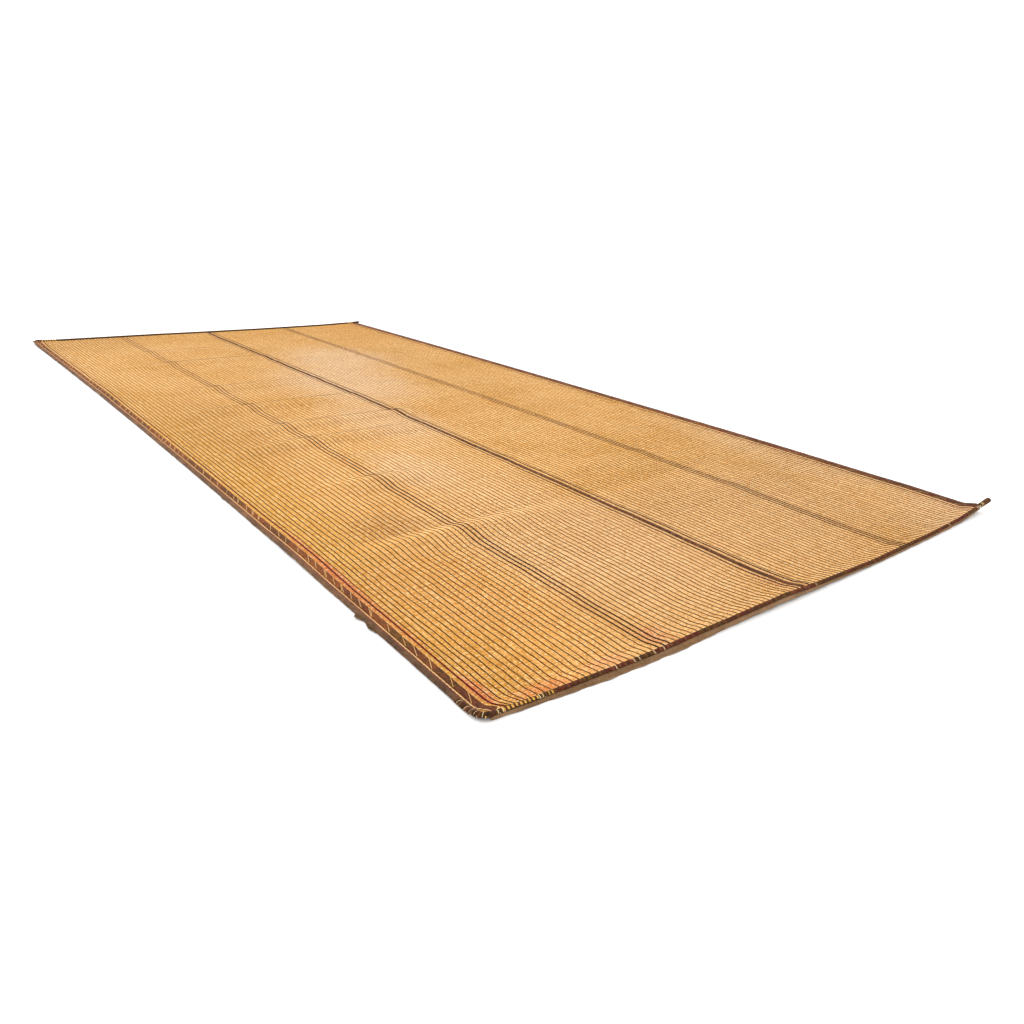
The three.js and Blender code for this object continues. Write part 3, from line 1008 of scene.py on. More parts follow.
class GrainGroup(ShaderGroup):
    """Leather grain: fine pebbles, with creases that run across the strip."""

    NAME = "Leather Grain"
    INPUTS = (("Vector", "Vector", None), ("Pebbles", "Float", 900.0), ("Creases", "Float", 60.0))
    OUTPUTS = (("Mottle", "Float"), ("Crease", "Float"), ("Height", "Float"))

    def make(self) -> list[Socket]:
        """Builds the grain.

        Returns:
            The mottle, the creases and the height.
        """
        given = self.given
        inputs = {"Vector": given["Vector"], "Scale": given["Pebbles"]}
        pebble = self.node("ShaderNodeTexVoronoi", inputs).outputs["Distance"]
        crease = self.noise(given["Vector"], given["Creases"], 4.0)
        folded = self.math("ABSOLUTE", self.minus(crease, 0.5))
        line = self.remap(folded, 0.0, 0.05, 1.0, 0.0)
        mottle = self.noise(given["Vector"], self.times(given["Creases"], 0.6), 3.0)
        height = self.minus(self.times(pebble, 0.25), self.times(line, 0.7))
        return [self.remap(mottle, 0.3, 0.7), line, height]


class BeadGroup(ShaderGroup):
    """The even beads of a thong that goes over and under the reeds, or of twisted ply, and the painted
    shade where they dip.
    """

    NAME = "Beads"
    INPUTS = (
        ("Vector", "Vector", None),
        ("Tone", "Float", 0.5),
        ("Pitch", "Float", 0.0084),
        ("Slant", "Float", 0.0),
    )
    OUTPUTS = (("Gap", "Float"), ("Height", "Float"))

    def make(self) -> list[Socket]:
        """Builds the beads.

        Returns:
            The painted shade in the gaps between beads, and the height.
        """
        given = self.given
        across, along, _ = self.separate(given["Vector"])
        leaned = self.plus(along, self.times(across, given["Slant"]))
        turns = self.over(leaned, given["Pitch"])
        phase = self.times(self.plus(turns, given["Tone"]), math.pi)
        bead = self.math("ABSOLUTE", self.math("SINE", phase))
        # the first output is painted shade, darkest where the beads dip
        return [self.remap(bead, 0.0, 0.6, 1.0, 0.0), bead]


class StainGroup(ShaderGroup):
    """A soft patch with an uneven rim, round a place on the flat mat."""

    NAME = "Stain"
    INPUTS = (
        ("Vector", "Vector", None),
        ("Centre", "Vector", (0, 0, 0)),
        ("Reach", "Vector", (1, 1, 1)),
        ("Strength", "Float", 1.0),
        ("Ragged", "Float", 0.6),
    )
    OUTPUTS = (("Mask", "Float"),)

    def make(self) -> list[Socket]:
        """Builds the patch.

        Returns:
            The mask, in a list.
        """
        given = self.given
        off = self.vector_math("SUBTRACT", given["Vector"], given["Centre"])
        scaled = self.vector_math("DIVIDE", off, given["Reach"])
        far = self.node("ShaderNodeVectorMath", operation="LENGTH")
        self.set(far.inputs[0], scaled)
        rim = self.minus(self.noise(given["Vector"], 9.0, 4.0), 0.5)
        edge = self.plus(far.outputs["Value"], self.times(rim, given["Ragged"]))
        return [self.times(self.remap(edge, 0.25, 1.0, 1.0, 0.0), given["Strength"])]


class DustGroup(ShaderGroup):
    """Pale dust in patches, over any colour, and the rougher look that it gives."""

    NAME = "Dust"
    INPUTS = (
        ("Color", "Color", None),
        ("Dust", "Color", None),
        ("Vector", "Vector", None),
        ("Amount", "Float", 0.3),
    )
    OUTPUTS = (("Color", "Color"), ("Mask", "Float"))

    def make(self) -> list[Socket]:
        """Builds the dust.

        Returns:
            The colour and the mask.
        """
        given = self.given
        wide = self.noise(given["Vector"], 14.0, 5.0)
        fine = self.noise(given["Vector"], 260.0, 3.0)
        both = self.plus(wide, self.times(self.minus(fine, 0.5), 0.6))
        mask = self.times(self.remap(both, 0.35, 0.75), given["Amount"])
        return [self.mix(mask, given["Color"], given["Dust"]), mask]


@dataclass(frozen=True)
class Effects:
    """The shader groups that the finishes share."""

    fibres: FibreGroup = field(default_factory=FibreGroup)
    grain: GrainGroup = field(default_factory=GrainGroup)
    beads: BeadGroup = field(default_factory=BeadGroup)
    stain: StainGroup = field(default_factory=StainGroup)
    dust: DustGroup = field(default_factory=DustGroup)


class MaterialBuilder(NodeBuilder):
    """A material with one Principled shader, and the places that its patterns follow."""

    def __init__(self, name: str, roughness: float, specular: float) -> None:
        """Makes the material.

        Args:
            name: the material's name.
            roughness: its roughness, until something is joined to it.
            specular: its specular level.
        """
        self.material = bpy.data.materials.new(name)
        self.material.use_nodes = True
        super().__init__(self.material.node_tree)
        self.tree.nodes.clear()
        inputs = {"Roughness": roughness, "Specular IOR Level": specular}
        self.shader = self.node("ShaderNodeBsdfPrincipled", inputs)
        self.node("ShaderNodeOutputMaterial", {"Surface": self.shader.outputs[0]})

    def flat(self) -> Socket:
        """The point's place on the flat mat."""
        return self.node("ShaderNodeUVMap", uv_map=FLAT).outputs[0]

    def tone(self) -> Socket:
        """The strand's own number."""
        return self.node("ShaderNodeAttribute", attribute_name=TONE).outputs["Fac"]

    def dye(self) -> Socket:
        """The strand's own colour."""
        return self.node("ShaderNodeAttribute", attribute_name=DYE).outputs["Color"]

    def place(self) -> Socket:
        """The point's place in the frame."""
        return self.node("ShaderNodeTexCoord").outputs["Object"]

    def layered(
        self, colour: Value, layers: Sequence[tuple[Socket, float, str]]
    ) -> Socket:
        """Lays tints over a colour, one after another.

        Args:
            colour: the colour underneath.
            layers: for each tint, a mask, how strongly it shows there, and its colour code.

        Returns:
            The tinted colour.
        """
        for mask, share, tint in layers:
            colour = self.mix(self.times(mask, share), colour, daylight(tint))
        return colour

    def surface(
        self, colour: Value, roughness: Value, height: Value, depth: float
    ) -> bpy.types.Material:
        """Joins the finish to the shader.

        Args:
            colour: the base colour.
            roughness: the roughness.
            height: the relief, from about 0 to 1.
            depth: how deep the relief is.

        Returns:
            The material.
        """
        self.set(self.shader.inputs["Base Color"], colour)
        self.set(self.shader.inputs["Roughness"], roughness)
        bump = self.node("ShaderNodeBump", {"Strength": 1.0, "Distance": depth, "Height": height})
        self.set(self.shader.inputs["Normal"], bump.outputs[0])
        return self.material


@dataclass(frozen=True)
class Patch:
    """A tint that lies on part of the reeds. Most are stains; a few are painted sheen and one is
    painted shade.
    """

    colour: str
    centre: tuple[float, float]
    reach: tuple[float, float]
    strength: float
    ragged: float = 0.5  # how uneven its rim is


@dataclass(frozen=True)
class ReedFinish:
    """Dry split reeds: golden at the near left, paler and pinker in the middle, where painted sheen
    lies on them, with painted shade between them.
    """

    pitch: float
    first: float  # where the first gap between reeds lies along the mat
    name: str = "reed"
    base: str = "eab46e"
    warm: str = "dfa556"
    deep: str = "a4692a"
    light: str = "fce2ae"
    # the colour of the painted shade in the gaps between the reeds
    gap: str = "5a3009"
    spot: str = "5f380f"
    relief: float = 0.00025
    along_grain: Point = (24.0, 900.0, 1.0)  # fibres: across, along and up, to the metre
    cell_grain: Point = (150.0, 0.0, 1.0)  # the pale and dark cells of a reed
    patches: tuple[Patch, ...] = (
        Patch("d8a048", (-0.97, -0.9), (0.34, 2.5), 0.85, 0.3),
        Patch("eebc80", (0.25, -1.72), (0.85, 0.55), 0.8, 0.4),
        Patch("f0c490", (-0.38, -0.82), (0.18, 0.32), 0.8, 0.4),
        Patch("f0c695", (-0.14, -0.22), (0.29, 0.56), 0.85, 0.4),
        # painted sheen: these two pale patches are the light's sheen on the middle of the mat
        Patch("f8d4ae", (0.06, 0.50), (0.42, 0.66), 0.72, 0.4),
        Patch("f8d4ae", (0.30, 1.05), (0.40, 0.52), 0.72, 0.4),
        Patch("d9a050", (0.25, -1.26), (0.30, 0.12), 0.7),
        Patch("d89c48", (0.10, 2.25), (1.30, 0.75), 0.7, 0.3),
        Patch("d69a4c", (0.95, 1.8), (0.4, 0.9), 0.6, 0.3),
        Patch("dc6e4c", (-0.944, -1.50), (0.020, 0.50), 0.75, 0.8),
        Patch("d9644c", (-0.936, -2.04), (0.022, 0.09), 0.75, 0.8),
        Patch("df7450", (-0.835, -2.105), (0.10, 0.040), 0.85, 0.8),
        Patch("e29074", (-0.66, -2.10), (0.09, 0.030), 0.5, 1.0),
        Patch("dd8058", (-0.50, -2.07), (0.05, 0.06), 0.5, 1.0),
        Patch("dd9068", (-0.04, -2.06), (0.05, 0.14), 0.35, 0.9),
        Patch("e09a78", (0.93, -2.08), (0.06, 0.09), 0.3, 0.8),
        Patch("c8986a", (-0.72, -1.80), (0.14, 0.16), 0.35, 1.0),
        Patch("c08a3a", (-0.855, -2.02), (0.09, 0.20), 0.45, 0.8),
        Patch("c08a4c", (-0.69, -1.24), (0.16, 0.16), 0.6, 0.5),
        Patch("f2ac48", (-0.76, -1.80), (0.28, 0.55), 0.45, 0.3),
        Patch("e2a65c", (-0.78, -1.60), (0.22, 0.30), 0.6, 0.3),
        Patch("f4cb9e", (-0.30, -1.50), (0.38, 1.20), 0.34, 0.3),
        Patch("fcd4a8", (0.88, -2.12), (0.36, 0.30), 0.5, 0.3),
        Patch("fad2a2", (0.95, -1.35), (0.24, 0.85), 0.45, 0.3),
        Patch("b98438", (-0.74, -0.10), (0.24, 0.90), 0.4, 0.5),
        Patch("b07c34", (-0.80, 2.10), (0.50, 0.60), 0.4, 0.5),
        # painted shade: a broad darkening, strongest at the far left, that fades out towards the near
        # right
        Patch("88683d", (-0.60, 1.30), (2.60, 2.90), 0.27, 0.1),
    )

    def build(self, effects: Effects) -> bpy.types.Material:
        """Makes the material.

        Args:
            effects: the shared shader groups.

        Returns:
            The material.
        """
        made = MaterialBuilder(self.name, 0.6, 0.08)
        flat, tone = made.flat(), made.tone()
        streak, fleck, height = effects.fibres.place(
            made, {"Vector": flat, "Tone": tone, "Grain": self.along_grain}
        )
        cell, speck, _ = effects.fibres.place(
            made, {"Vector": flat, "Tone": tone, "Grain": self.cell_grain}
        )
        # painted shade: the gaps between the reeds are darkened in the colour
        inputs = {"Vector": flat, "Tone": -self.first / self.pitch, "Pitch": self.pitch}
        gap, _ = effects.beads.place(made, inputs)
        clouds = made.noise(flat, 2.6, 5.0)
        colour = made.mix(made.remap(clouds, 0.4, 0.68), daylight(self.base), daylight(self.warm))
        for patch in self.patches:
            inputs = {"Vector": flat, "Centre": (*patch.centre, 0.0), "Reach": (*patch.reach, 1.0)}
            inputs |= {"Strength": patch.strength, "Ragged": patch.ragged}
            mask = effects.stain.place(made, inputs)[0]
            colour = made.mix(mask, colour, daylight(patch.colour))
        layers = (
            (made.remap(cell, 0.5, 1.0), 0.5, self.deep),
            (made.remap(cell, 0.5, 0.0), 0.58, self.light),
            (streak, 0.2, self.deep),
            (fleck, 0.5, self.spot),
            (speck, 0.55, self.spot),
            (gap, 1.0, self.gap),
        )
        roughness = made.remap(streak, 0.0, 1.0, 0.5, 0.7)
        return made.surface(made.layered(colour, layers), roughness, height, self.relief)


@dataclass(frozen=True)
class ThongFinish:
    """A narrow thong, in beads where it goes over and under the reeds, with painted shade between the
    beads.
    """

    name: str
    colour: str
    worn: str
    # the dark of the fibre streaks and flecks, and of the painted shade where the beads dip
    gap: str
    pitch: float = 0.0084
    slant: float = 0.0
    relief: float = 0.0005
    grain: Point = (900.0, 60.0, 1.0)  # fibres: across, along and up, to the metre

    def build(self, effects: Effects) -> bpy.types.Material:
        """Makes the material.

        Args:
            effects: the shared shader groups.

        Returns:
            The material.
        """
        made = MaterialBuilder(self.name, 0.7, 0.1)
        flat, tone = made.flat(), made.tone()
        streak, fleck, fibre = effects.fibres.place(
            made, {"Vector": flat, "Tone": tone, "Grain": self.grain}
        )
        gap, bead = effects.beads.place(
            made, {"Vector": flat, "Tone": tone, "Pitch": self.pitch, "Slant": self.slant}
        )
        along = made.separate(flat)[1]
        rubbed = made.plus(made.noise(flat, 3.5, 5.0), made.times(along, 0.06))
        wear = made.remap(rubbed, 0.35, 0.7)
        colour = made.mix(wear, daylight(self.colour), daylight(self.worn))
        # the gap layer is painted shade where the thong dips between beads
        layers = ((streak, 0.3, self.gap), (gap, 0.9, self.gap), (fleck, 0.4, self.gap))
        colour = made.layered(colour, layers)
        roughness = made.remap(streak, 0.0, 1.0, 0.5, 0.72)
        height = made.plus(bead, made.times(fibre, 0.3))
        return made.surface(colour, roughness, height, self.relief)


@dataclass(frozen=True)
class LeatherFinish:
    """Dyed leather whose colour each strand carries, with grain, creases and dust."""

    name: str
    dust: str = "b59a82"
    dusty: float = 0.3
    dark: str = "1d120c"
    roughness: float = 0.7
    pebbles: float = 900.0
    creases: float = 70.0
    relief: float = 0.0006
    speckle: str = "a45c24"
    speckled: float = 0.0  # how strongly pale and dark specks show
    speck_grain: Point = (240.0, 180.0, 1.0)  # specks: across, along and up, to the metre
    soiled: float = 0.0  # how much darker it gets towards the near end
    soiled_run: tuple[float, float] = (-1.4, -2.05)  # where along the mat that starts and ends

    def build(self, effects: Effects) -> bpy.types.Material:
        """Makes the material.

        Args:
            effects: the shared shader groups.

        Returns:
            The material.
        """
        made = MaterialBuilder(self.name, self.roughness, 0.12)
        place = made.place()
        mottle, crease, height = effects.grain.place(
            made, {"Vector": place, "Pebbles": self.pebbles, "Creases": self.creases}
        )
        layers = ((mottle, 0.35, self.dark), (crease, 0.5, self.dark))
        colour = made.layered(made.dye(), layers)
        if self.speckled:
            inputs = {"Vector": made.flat(), "Tone": 0.3, "Grain": self.speck_grain}
            fine = effects.fibres.place(made, inputs)[0]
            specks = made.mix(fine, daylight(self.dark), daylight(self.speckle))
            colour = made.mix(self.speckled, colour, specks)
        inputs = {"Color": colour, "Dust": daylight(self.dust), "Vector": place}
        dusted, mask = effects.dust.place(made, inputs | {"Amount": self.dusty})
        if self.soiled:
            along = made.separate(made.flat())[1]
            dusted = made.mix(
                made.remap(along, *self.soiled_run, 0.0, self.soiled), dusted, daylight(self.dark)
            )
        roughness = made.remap(mask, 0.0, 1.0, self.roughness, 0.9)
        return made.surface(dusted, roughness, height, self.relief)


@dataclass(frozen=True)
class FloorFinish:
    """A plain pale floor."""

    shade: float = 0.88

    def build(self) -> bpy.types.Material:
        """Makes the material.

        Returns:
            The material.
        """
        made = MaterialBuilder("floor", 0.9, 0.1)
        cloud = made.noise(made.place(), 0.4, 2.0)
        light = made.remap(cloud, 0.2, 0.8, self.shade - 0.01, self.shade)
        return made.surface(made.combine(light, light, light), 0.9, cloud, 0.0)


# --- Parts of the mat ---


@dataclass
class ReedField:
    """The reeds, which lie side by side across the mat."""

    pitch: float = 0.0042
    width: float = 0.0046
    height: float = 0.0037
    up: float = 0.0020
    loose: float = 0.0002  # how far a reed may lie off its place, along and up
    sides: int = 5

    def reach(self, mat: MatForm) -> float:
        """How far the reeds go from the middle of the mat to each end."""
        return mat.half_length - mat.inset

    def exact_pitch(self, mat: MatForm) -> float:
        """The pitch that fits a whole number of reeds."""
        return 2 * self.reach(mat) / round(2 * self.reach(mat) / self.pitch)

    def build(self, shop: Workshop) -> bpy.types.Object:
        """Makes the reeds as one piece.

        Args:
            shop: the workshop.

        Returns:
            The piece.
        """
        mat, chance = shop.mat, shop.chance
        reach, pitch = self.reach(mat), self.exact_pitch(mat)
        lines = []
        for i in range(round(2 * reach / pitch)):
            along = -reach + (i + 0.5) * pitch + chance.uniform(-self.loose, self.loose)
            up = self.up + chance.uniform(-self.loose, self.loose)
            points = [(across, along, up) for across in mat.columns]
            lines.append(SeedLine(points, chance.random()))
        return shop.piece(
            "reeds", lines, shop.strands, "reed", "reed", ("reed_field",),
            Width=self.width, Height=self.height, Sides=self.sides, Uneven=0.12,
        )


@dataclass
class Thongs:
    """The thongs that run along the mat and hold the reeds."""

    top: float = 0.0040  # how high the reeds' tops are
    end: float = 0.010  # how far in from the mat's ends the thongs stop
    jitter: float = 0.0010  # how far a row may lie off its place
    heavy: tuple[float, ...] = (-0.5385, -0.522, -0.5055, -0.045, -0.001, 0.4605, 0.4755, 0.4905)
    red: tuple[float, ...] = (-0.9445, 0.945)
    by_left: tuple[float, ...] = (0.0632, 0.0775, 0.0918, 0.1046)  # rows in from the left side
    by_right: tuple[float, ...] = (0.0990, 0.0820, 0.0650)  # rows in from the right side
    past_centre: float = 0.0107  # the first row right of the middle group

    def thin_rows(self, mat: MatForm) -> list[float]:
        """Lists the places of the thin thongs across the mat.

        Args:
            mat: the form of the mat.

        Returns:
            The places, from the left.
        """

        def between(first: float, last: float, count: int) -> list[float]:
            """Rows at even distances between two others."""
            return np.linspace(first, last, count + 2)[1:-1].tolist()

        heavy = self.heavy
        rows = [inset - mat.half_width for inset in self.by_left]
        last = [mat.half_width - inset for inset in self.by_right]
        rows += between(rows[-1], heavy[0], 20) + between(heavy[2], heavy[3], 26)
        rows += [self.past_centre, *between(self.past_centre, heavy[5], 25)]
        return rows + between(heavy[7], last[0], 22) + last

    def lines(self, shop: Workshop, rows: Sequence[float], step: float, up: float) -> list[SeedLine]:
        """Makes one line for each row.

        Args:
            shop: the workshop.
            rows: the rows' places across the mat.
            step: about how far apart the points of a line are.
            up: how high the line is over the reeds' tops.

        Returns:
            The lines.
        """
        made = []
        for across in rows:
            place = across + shop.chance.uniform(-self.jitter, self.jitter)
            points = shop.run_along(place, self.top + up, step, self.end)
            made.append(SeedLine(points, shop.chance.random()))
        return made

    def build(self, shop: Workshop) -> None:
        """Makes the thin, heavy and red thongs.

        Args:
            shop: the workshop.
        """
        rows = self.thin_rows(shop.mat)
        half = len(rows) // 2
        for name, part in (("left", rows[:half]), ("right", rows[half:])):
            lines = self.lines(shop, part, shop.mat.row_step, 0.0001)
            shop.piece(
                f"thin_thongs_{name}", lines, shop.strands, "thin_thong", "thong",
                Width=0.0026, Height=0.0015, Sides=4, Wander=0.0036, Wander_Pitch=0.09, Uneven=0.7,
            )
        nodes = [f"quarter_thong_{side}_{i}" for side in ("left", "right") for i in (1, 2, 3)]
        nodes += ["centre_thong_left", "centre_thong_right"]
        red_nodes = ["red_thong_left", "red_thong_right"]
        for name, slot, stands_for, places, wander, pitch, uneven in (
            ("heavy", "thong", nodes, self.heavy, 0.0018, 0.13, 0.35),
            ("red", "red_thong", red_nodes, self.red, 0.0012, 0.22, 0.25),
        ):
            lines = self.lines(shop, places, 0.0042, 0.0006)
            shop.piece(
                f"{name}_thongs", lines, shop.strands, f"{name}_thong", slot, stands_for,
                Width=0.0042, Height=0.0021, Sides=6, Swell=0.10, Swell_Pitch=0.0168,
                Wander=wander, Wander_Pitch=pitch, Uneven=uneven,
            )


@dataclass(frozen=True)
class Panel:
    """One piece of leather in a strip, by where it ends, counted from the near end."""

    stop: float
    dye: Dye


@dataclass
class Strip:
    """A leather strip sewn along the mat, made of panels end to end, with lacing over it."""

    PANELS_TO: ClassVar[float] = 4.3  # panels go on until one stops past this place
    SEAM_TO: ClassVar[float] = 4.235  # stitches go on up to this place

    name: str
    across: float
    width: float
    panels: tuple[Panel, ...]
    stitches: tuple[tuple[float, float], ...]  # places from the near end, and spans along
    reach: float  # how far across each stitch goes
    replaces: tuple[str, ...]
    rough_end: float = 0.012  # the strip stops this far inside the mat's ends
    panel_step: float = 0.0055
    lap: float = 0.004  # how far a panel runs on under or over the next
    lap_rise: float = 0.0003  # how much higher every other panel lies
    lace: float = 0.0012
    lace_up: float = 0.0004  # how high the lacing lies over the leather
    lace_dip: float = 0.0012  # how far its ends go down
    stitch_slip: float = 0.002  # how far a stitch may lie off its place
    lean_share: tuple[float, float] = (0.85, 1.15)  # how much of its span it may lean
    lace_dye: Dye = Dye.STRAW
    thickness: float = 0.0017
    top: float = 0.0040
    finish: str = "strip_leather"

    def panel_lines(self, shop: Workshop) -> list[SeedLine]:
        """Makes a line for each panel, which overlaps the next a little.

        Args:
            shop: the workshop.

        Returns:
            The lines.
        """
        start = -shop.mat.half_length + self.rough_end
        lines = []
        for panel in self.panels:
            end = shop.mat.half_length - self.rough_end
            stop = min(-shop.mat.half_length + panel.stop, end)
            count = max(2, round((stop - start) / self.panel_step))
            up = self.top + self.thickness * 0.45 + self.lap_rise * (len(lines) % 2)
            places = np.linspace(start, stop + self.lap, count).tolist()
            points = [(shop.laid(self.across, v), v, up) for v in places]
            lines.append(SeedLine(points, shop.chance.random(), panel.dye))
            start = stop
        return lines

    def stitch_lines(self, shop: Workshop) -> list[SeedLine]:
        """Makes a line for each stitch, which slants over the strip.

        Args:
            shop: the workshop.

        Returns:
            The lines.
        """
        lines = []
        up = self.top + self.thickness + self.lace_up
        for start, span in self.stitches:
            slip = shop.chance.uniform(-self.stitch_slip, self.stitch_slip)
            along = -shop.mat.half_length + start + slip
            lean = span * shop.chance.uniform(*self.lean_share)
            points = []
            for share in np.linspace(-0.5, 0.5, 7).tolist():
                dip = self.lace_dip * (abs(share) * 2) ** 6
                place = along + lean * share
                middle = shop.laid(self.across, place)
                points.append((middle + self.reach * share, place, up - dip))
            lines.append(SeedLine(points, shop.chance.random(), self.lace_dye))
        return lines

    def build(self, shop: Workshop) -> None:
        """Makes the strip and its lacing.

        Args:
            shop: the workshop.
        """
        shop.piece(
            self.name, self.panel_lines(shop), shop.strands, self.finish, "strip_leather",
            self.replaces,
            Width=self.width, Height=self.thickness, Sides=10, Uneven=0.10, Wander=0.0010,
            Wander_Pitch=0.15,
        )
        shop.piece(
            f"{self.name}_lacing", self.stitch_lines(shop), shop.strands, "cream", "cord",
            Width=self.lace, Height=0.0011, Sides=5, Uneven=0.5,
        )


def panels(
    rows: Sequence[tuple[float, Dye]], last: Sequence[Dye], chance: random.Random
) -> tuple[Panel, ...]:
    """Lists a strip's panels: the given ones, then a mixed run of others up to the far end.

    Args:
        rows: where each given panel stops and its dye.
        last: the dyes that the others are picked from.
        chance: the random numbers to use.

    Returns:
        The panels, from the near end.
    """
    made = [Panel(stop, dye) for stop, dye in rows]
    place = rows[-1][0]
    while place < Strip.PANELS_TO:
        place += chance.uniform(0.05, 0.16)
        made.append(Panel(place, chance.choice(list(last))))
    return tuple(made)


def seams(
    first: float, low: float, high: float, span: float, chance: random.Random
) -> tuple[tuple[float, float], ...]:
    """Spreads stitches along a strip at uneven distances, some of them doubled.

    Args:
        first: the first stitch's place from the near end.
        low: the least distance between stitches.
        high: the greatest distance between stitches.
        span: how far along the mat a stitch leans.
        chance: the random numbers to use.

    Returns:
        Each stitch's place and lean.
    """
    made = []
    place = first
    while place < Strip.SEAM_TO:
        made.append((place, span))
        if chance.random() < 0.3:
            made.append((place + 0.006, span))
        place += chance.uniform(low, high)
    return tuple(made)


@dataclass
class SideEdge:
    """One long side: the rolled edge leather, its lip and the cord beside it."""

    side: Side
    corner: float = 0.020  # radius of the turn into the near end
    roll_width: float = 0.0112
    roll_height: float = 0.0098
    roll_up: float = 0.0029
    lip_width: float = 0.0092
    lip_in: float = 0.0110
    lip_up: float = 0.0047  # the lip on the reeds
    foot_up: float = -0.0009  # the lip under them
    cord_in: float = 0.0167
    cord_up: float = 0.0052
    cord: str = "cream_cord"

    def path(self, shop: Workshop, distance: float, up: float, step: float) -> list[Point]:
        """A line along the side that turns in at the near end.

        Args:
            shop: the workshop.
            distance: how far in from the side's outer face it runs.
            up: its height over the reeds' underside.
            step: how far apart its points are.

        Returns:
            The line's points, from the far end.
        """
        radius = self.corner
        across = shop.from_side(self.side, distance)
        stop = shop.from_end(End.NEAR, radius + 0.006)
        start = shop.from_end(End.FAR, 0.002)
        count = round((start - stop) / step)
        points = [(across, v, up) for v in np.linspace(start, stop, count).tolist()]
        for turn in np.linspace(0, math.pi / 2, 9).tolist()[1:]:
            inward = radius * (1 - math.cos(turn))
            points.append((across - self.side.value * inward, stop - radius * math.sin(turn), up))
        return points

    def build(self, shop: Workshop) -> None:
        """Makes the roll, the lip and the cord.

        Args:
            shop: the workshop.
        """
        name = self.side.name.lower()
        roll = SeedLine(self.path(shop, self.roll_width / 2, self.roll_up, 0.0045), 0.3, Dye.GREY)
        lip = SeedLine(self.path(shop, self.lip_in, self.lip_up, 0.0060), 0.6, Dye.PLUM)
        foot = SeedLine(self.path(shop, self.lip_in, self.foot_up, 0.0120), 0.8, Dye.UMBER)
        shop.piece(
            f"edge_roll_{name}", [roll], shop.strands, "edge_leather", "edge_leather",
            (f"side_binding_{name}",),
            Width=self.roll_width, Height=self.roll_height, Sides=10, Uneven=0.38,
            Wander=0.0016, Wander_Pitch=0.06,
        )
        shop.piece(
            f"edge_lip_{name}", [lip, foot], shop.strands, "lip_leather", "edge_leather",
            Width=self.lip_width, Height=0.0018, Sides=8, Uneven=0.12,
            Wander=0.0012, Wander_Pitch=0.12,
        )
        across = shop.from_side(self.side, self.cord_in)
        line = SeedLine(shop.run_along(across, self.cord_up, 0.0030, 0.012), 0.4, Dye.CREAM)
        shop.piece(
            f"edge_cord_{name}", [line], shop.strands, self.cord, "cord", (f"side_cord_{name}",),
            Width=0.0030, Height=0.0020, Sides=6, Twist_Pitch=0.024, Wander=0.0008,
            Wander_Pitch=0.09, Uneven=0.25,
        )


@dataclass(frozen=True)
class Wrap:
    """A stretch of winding on an end, by place across the mat.

    Its dyes follow one another every few turns. An open wrap has one turn, then bare roll.
    """

    start: float
    stop: float
    dyes: tuple[Dye, ...]
    turns: int = 2
    open: float = 0.0


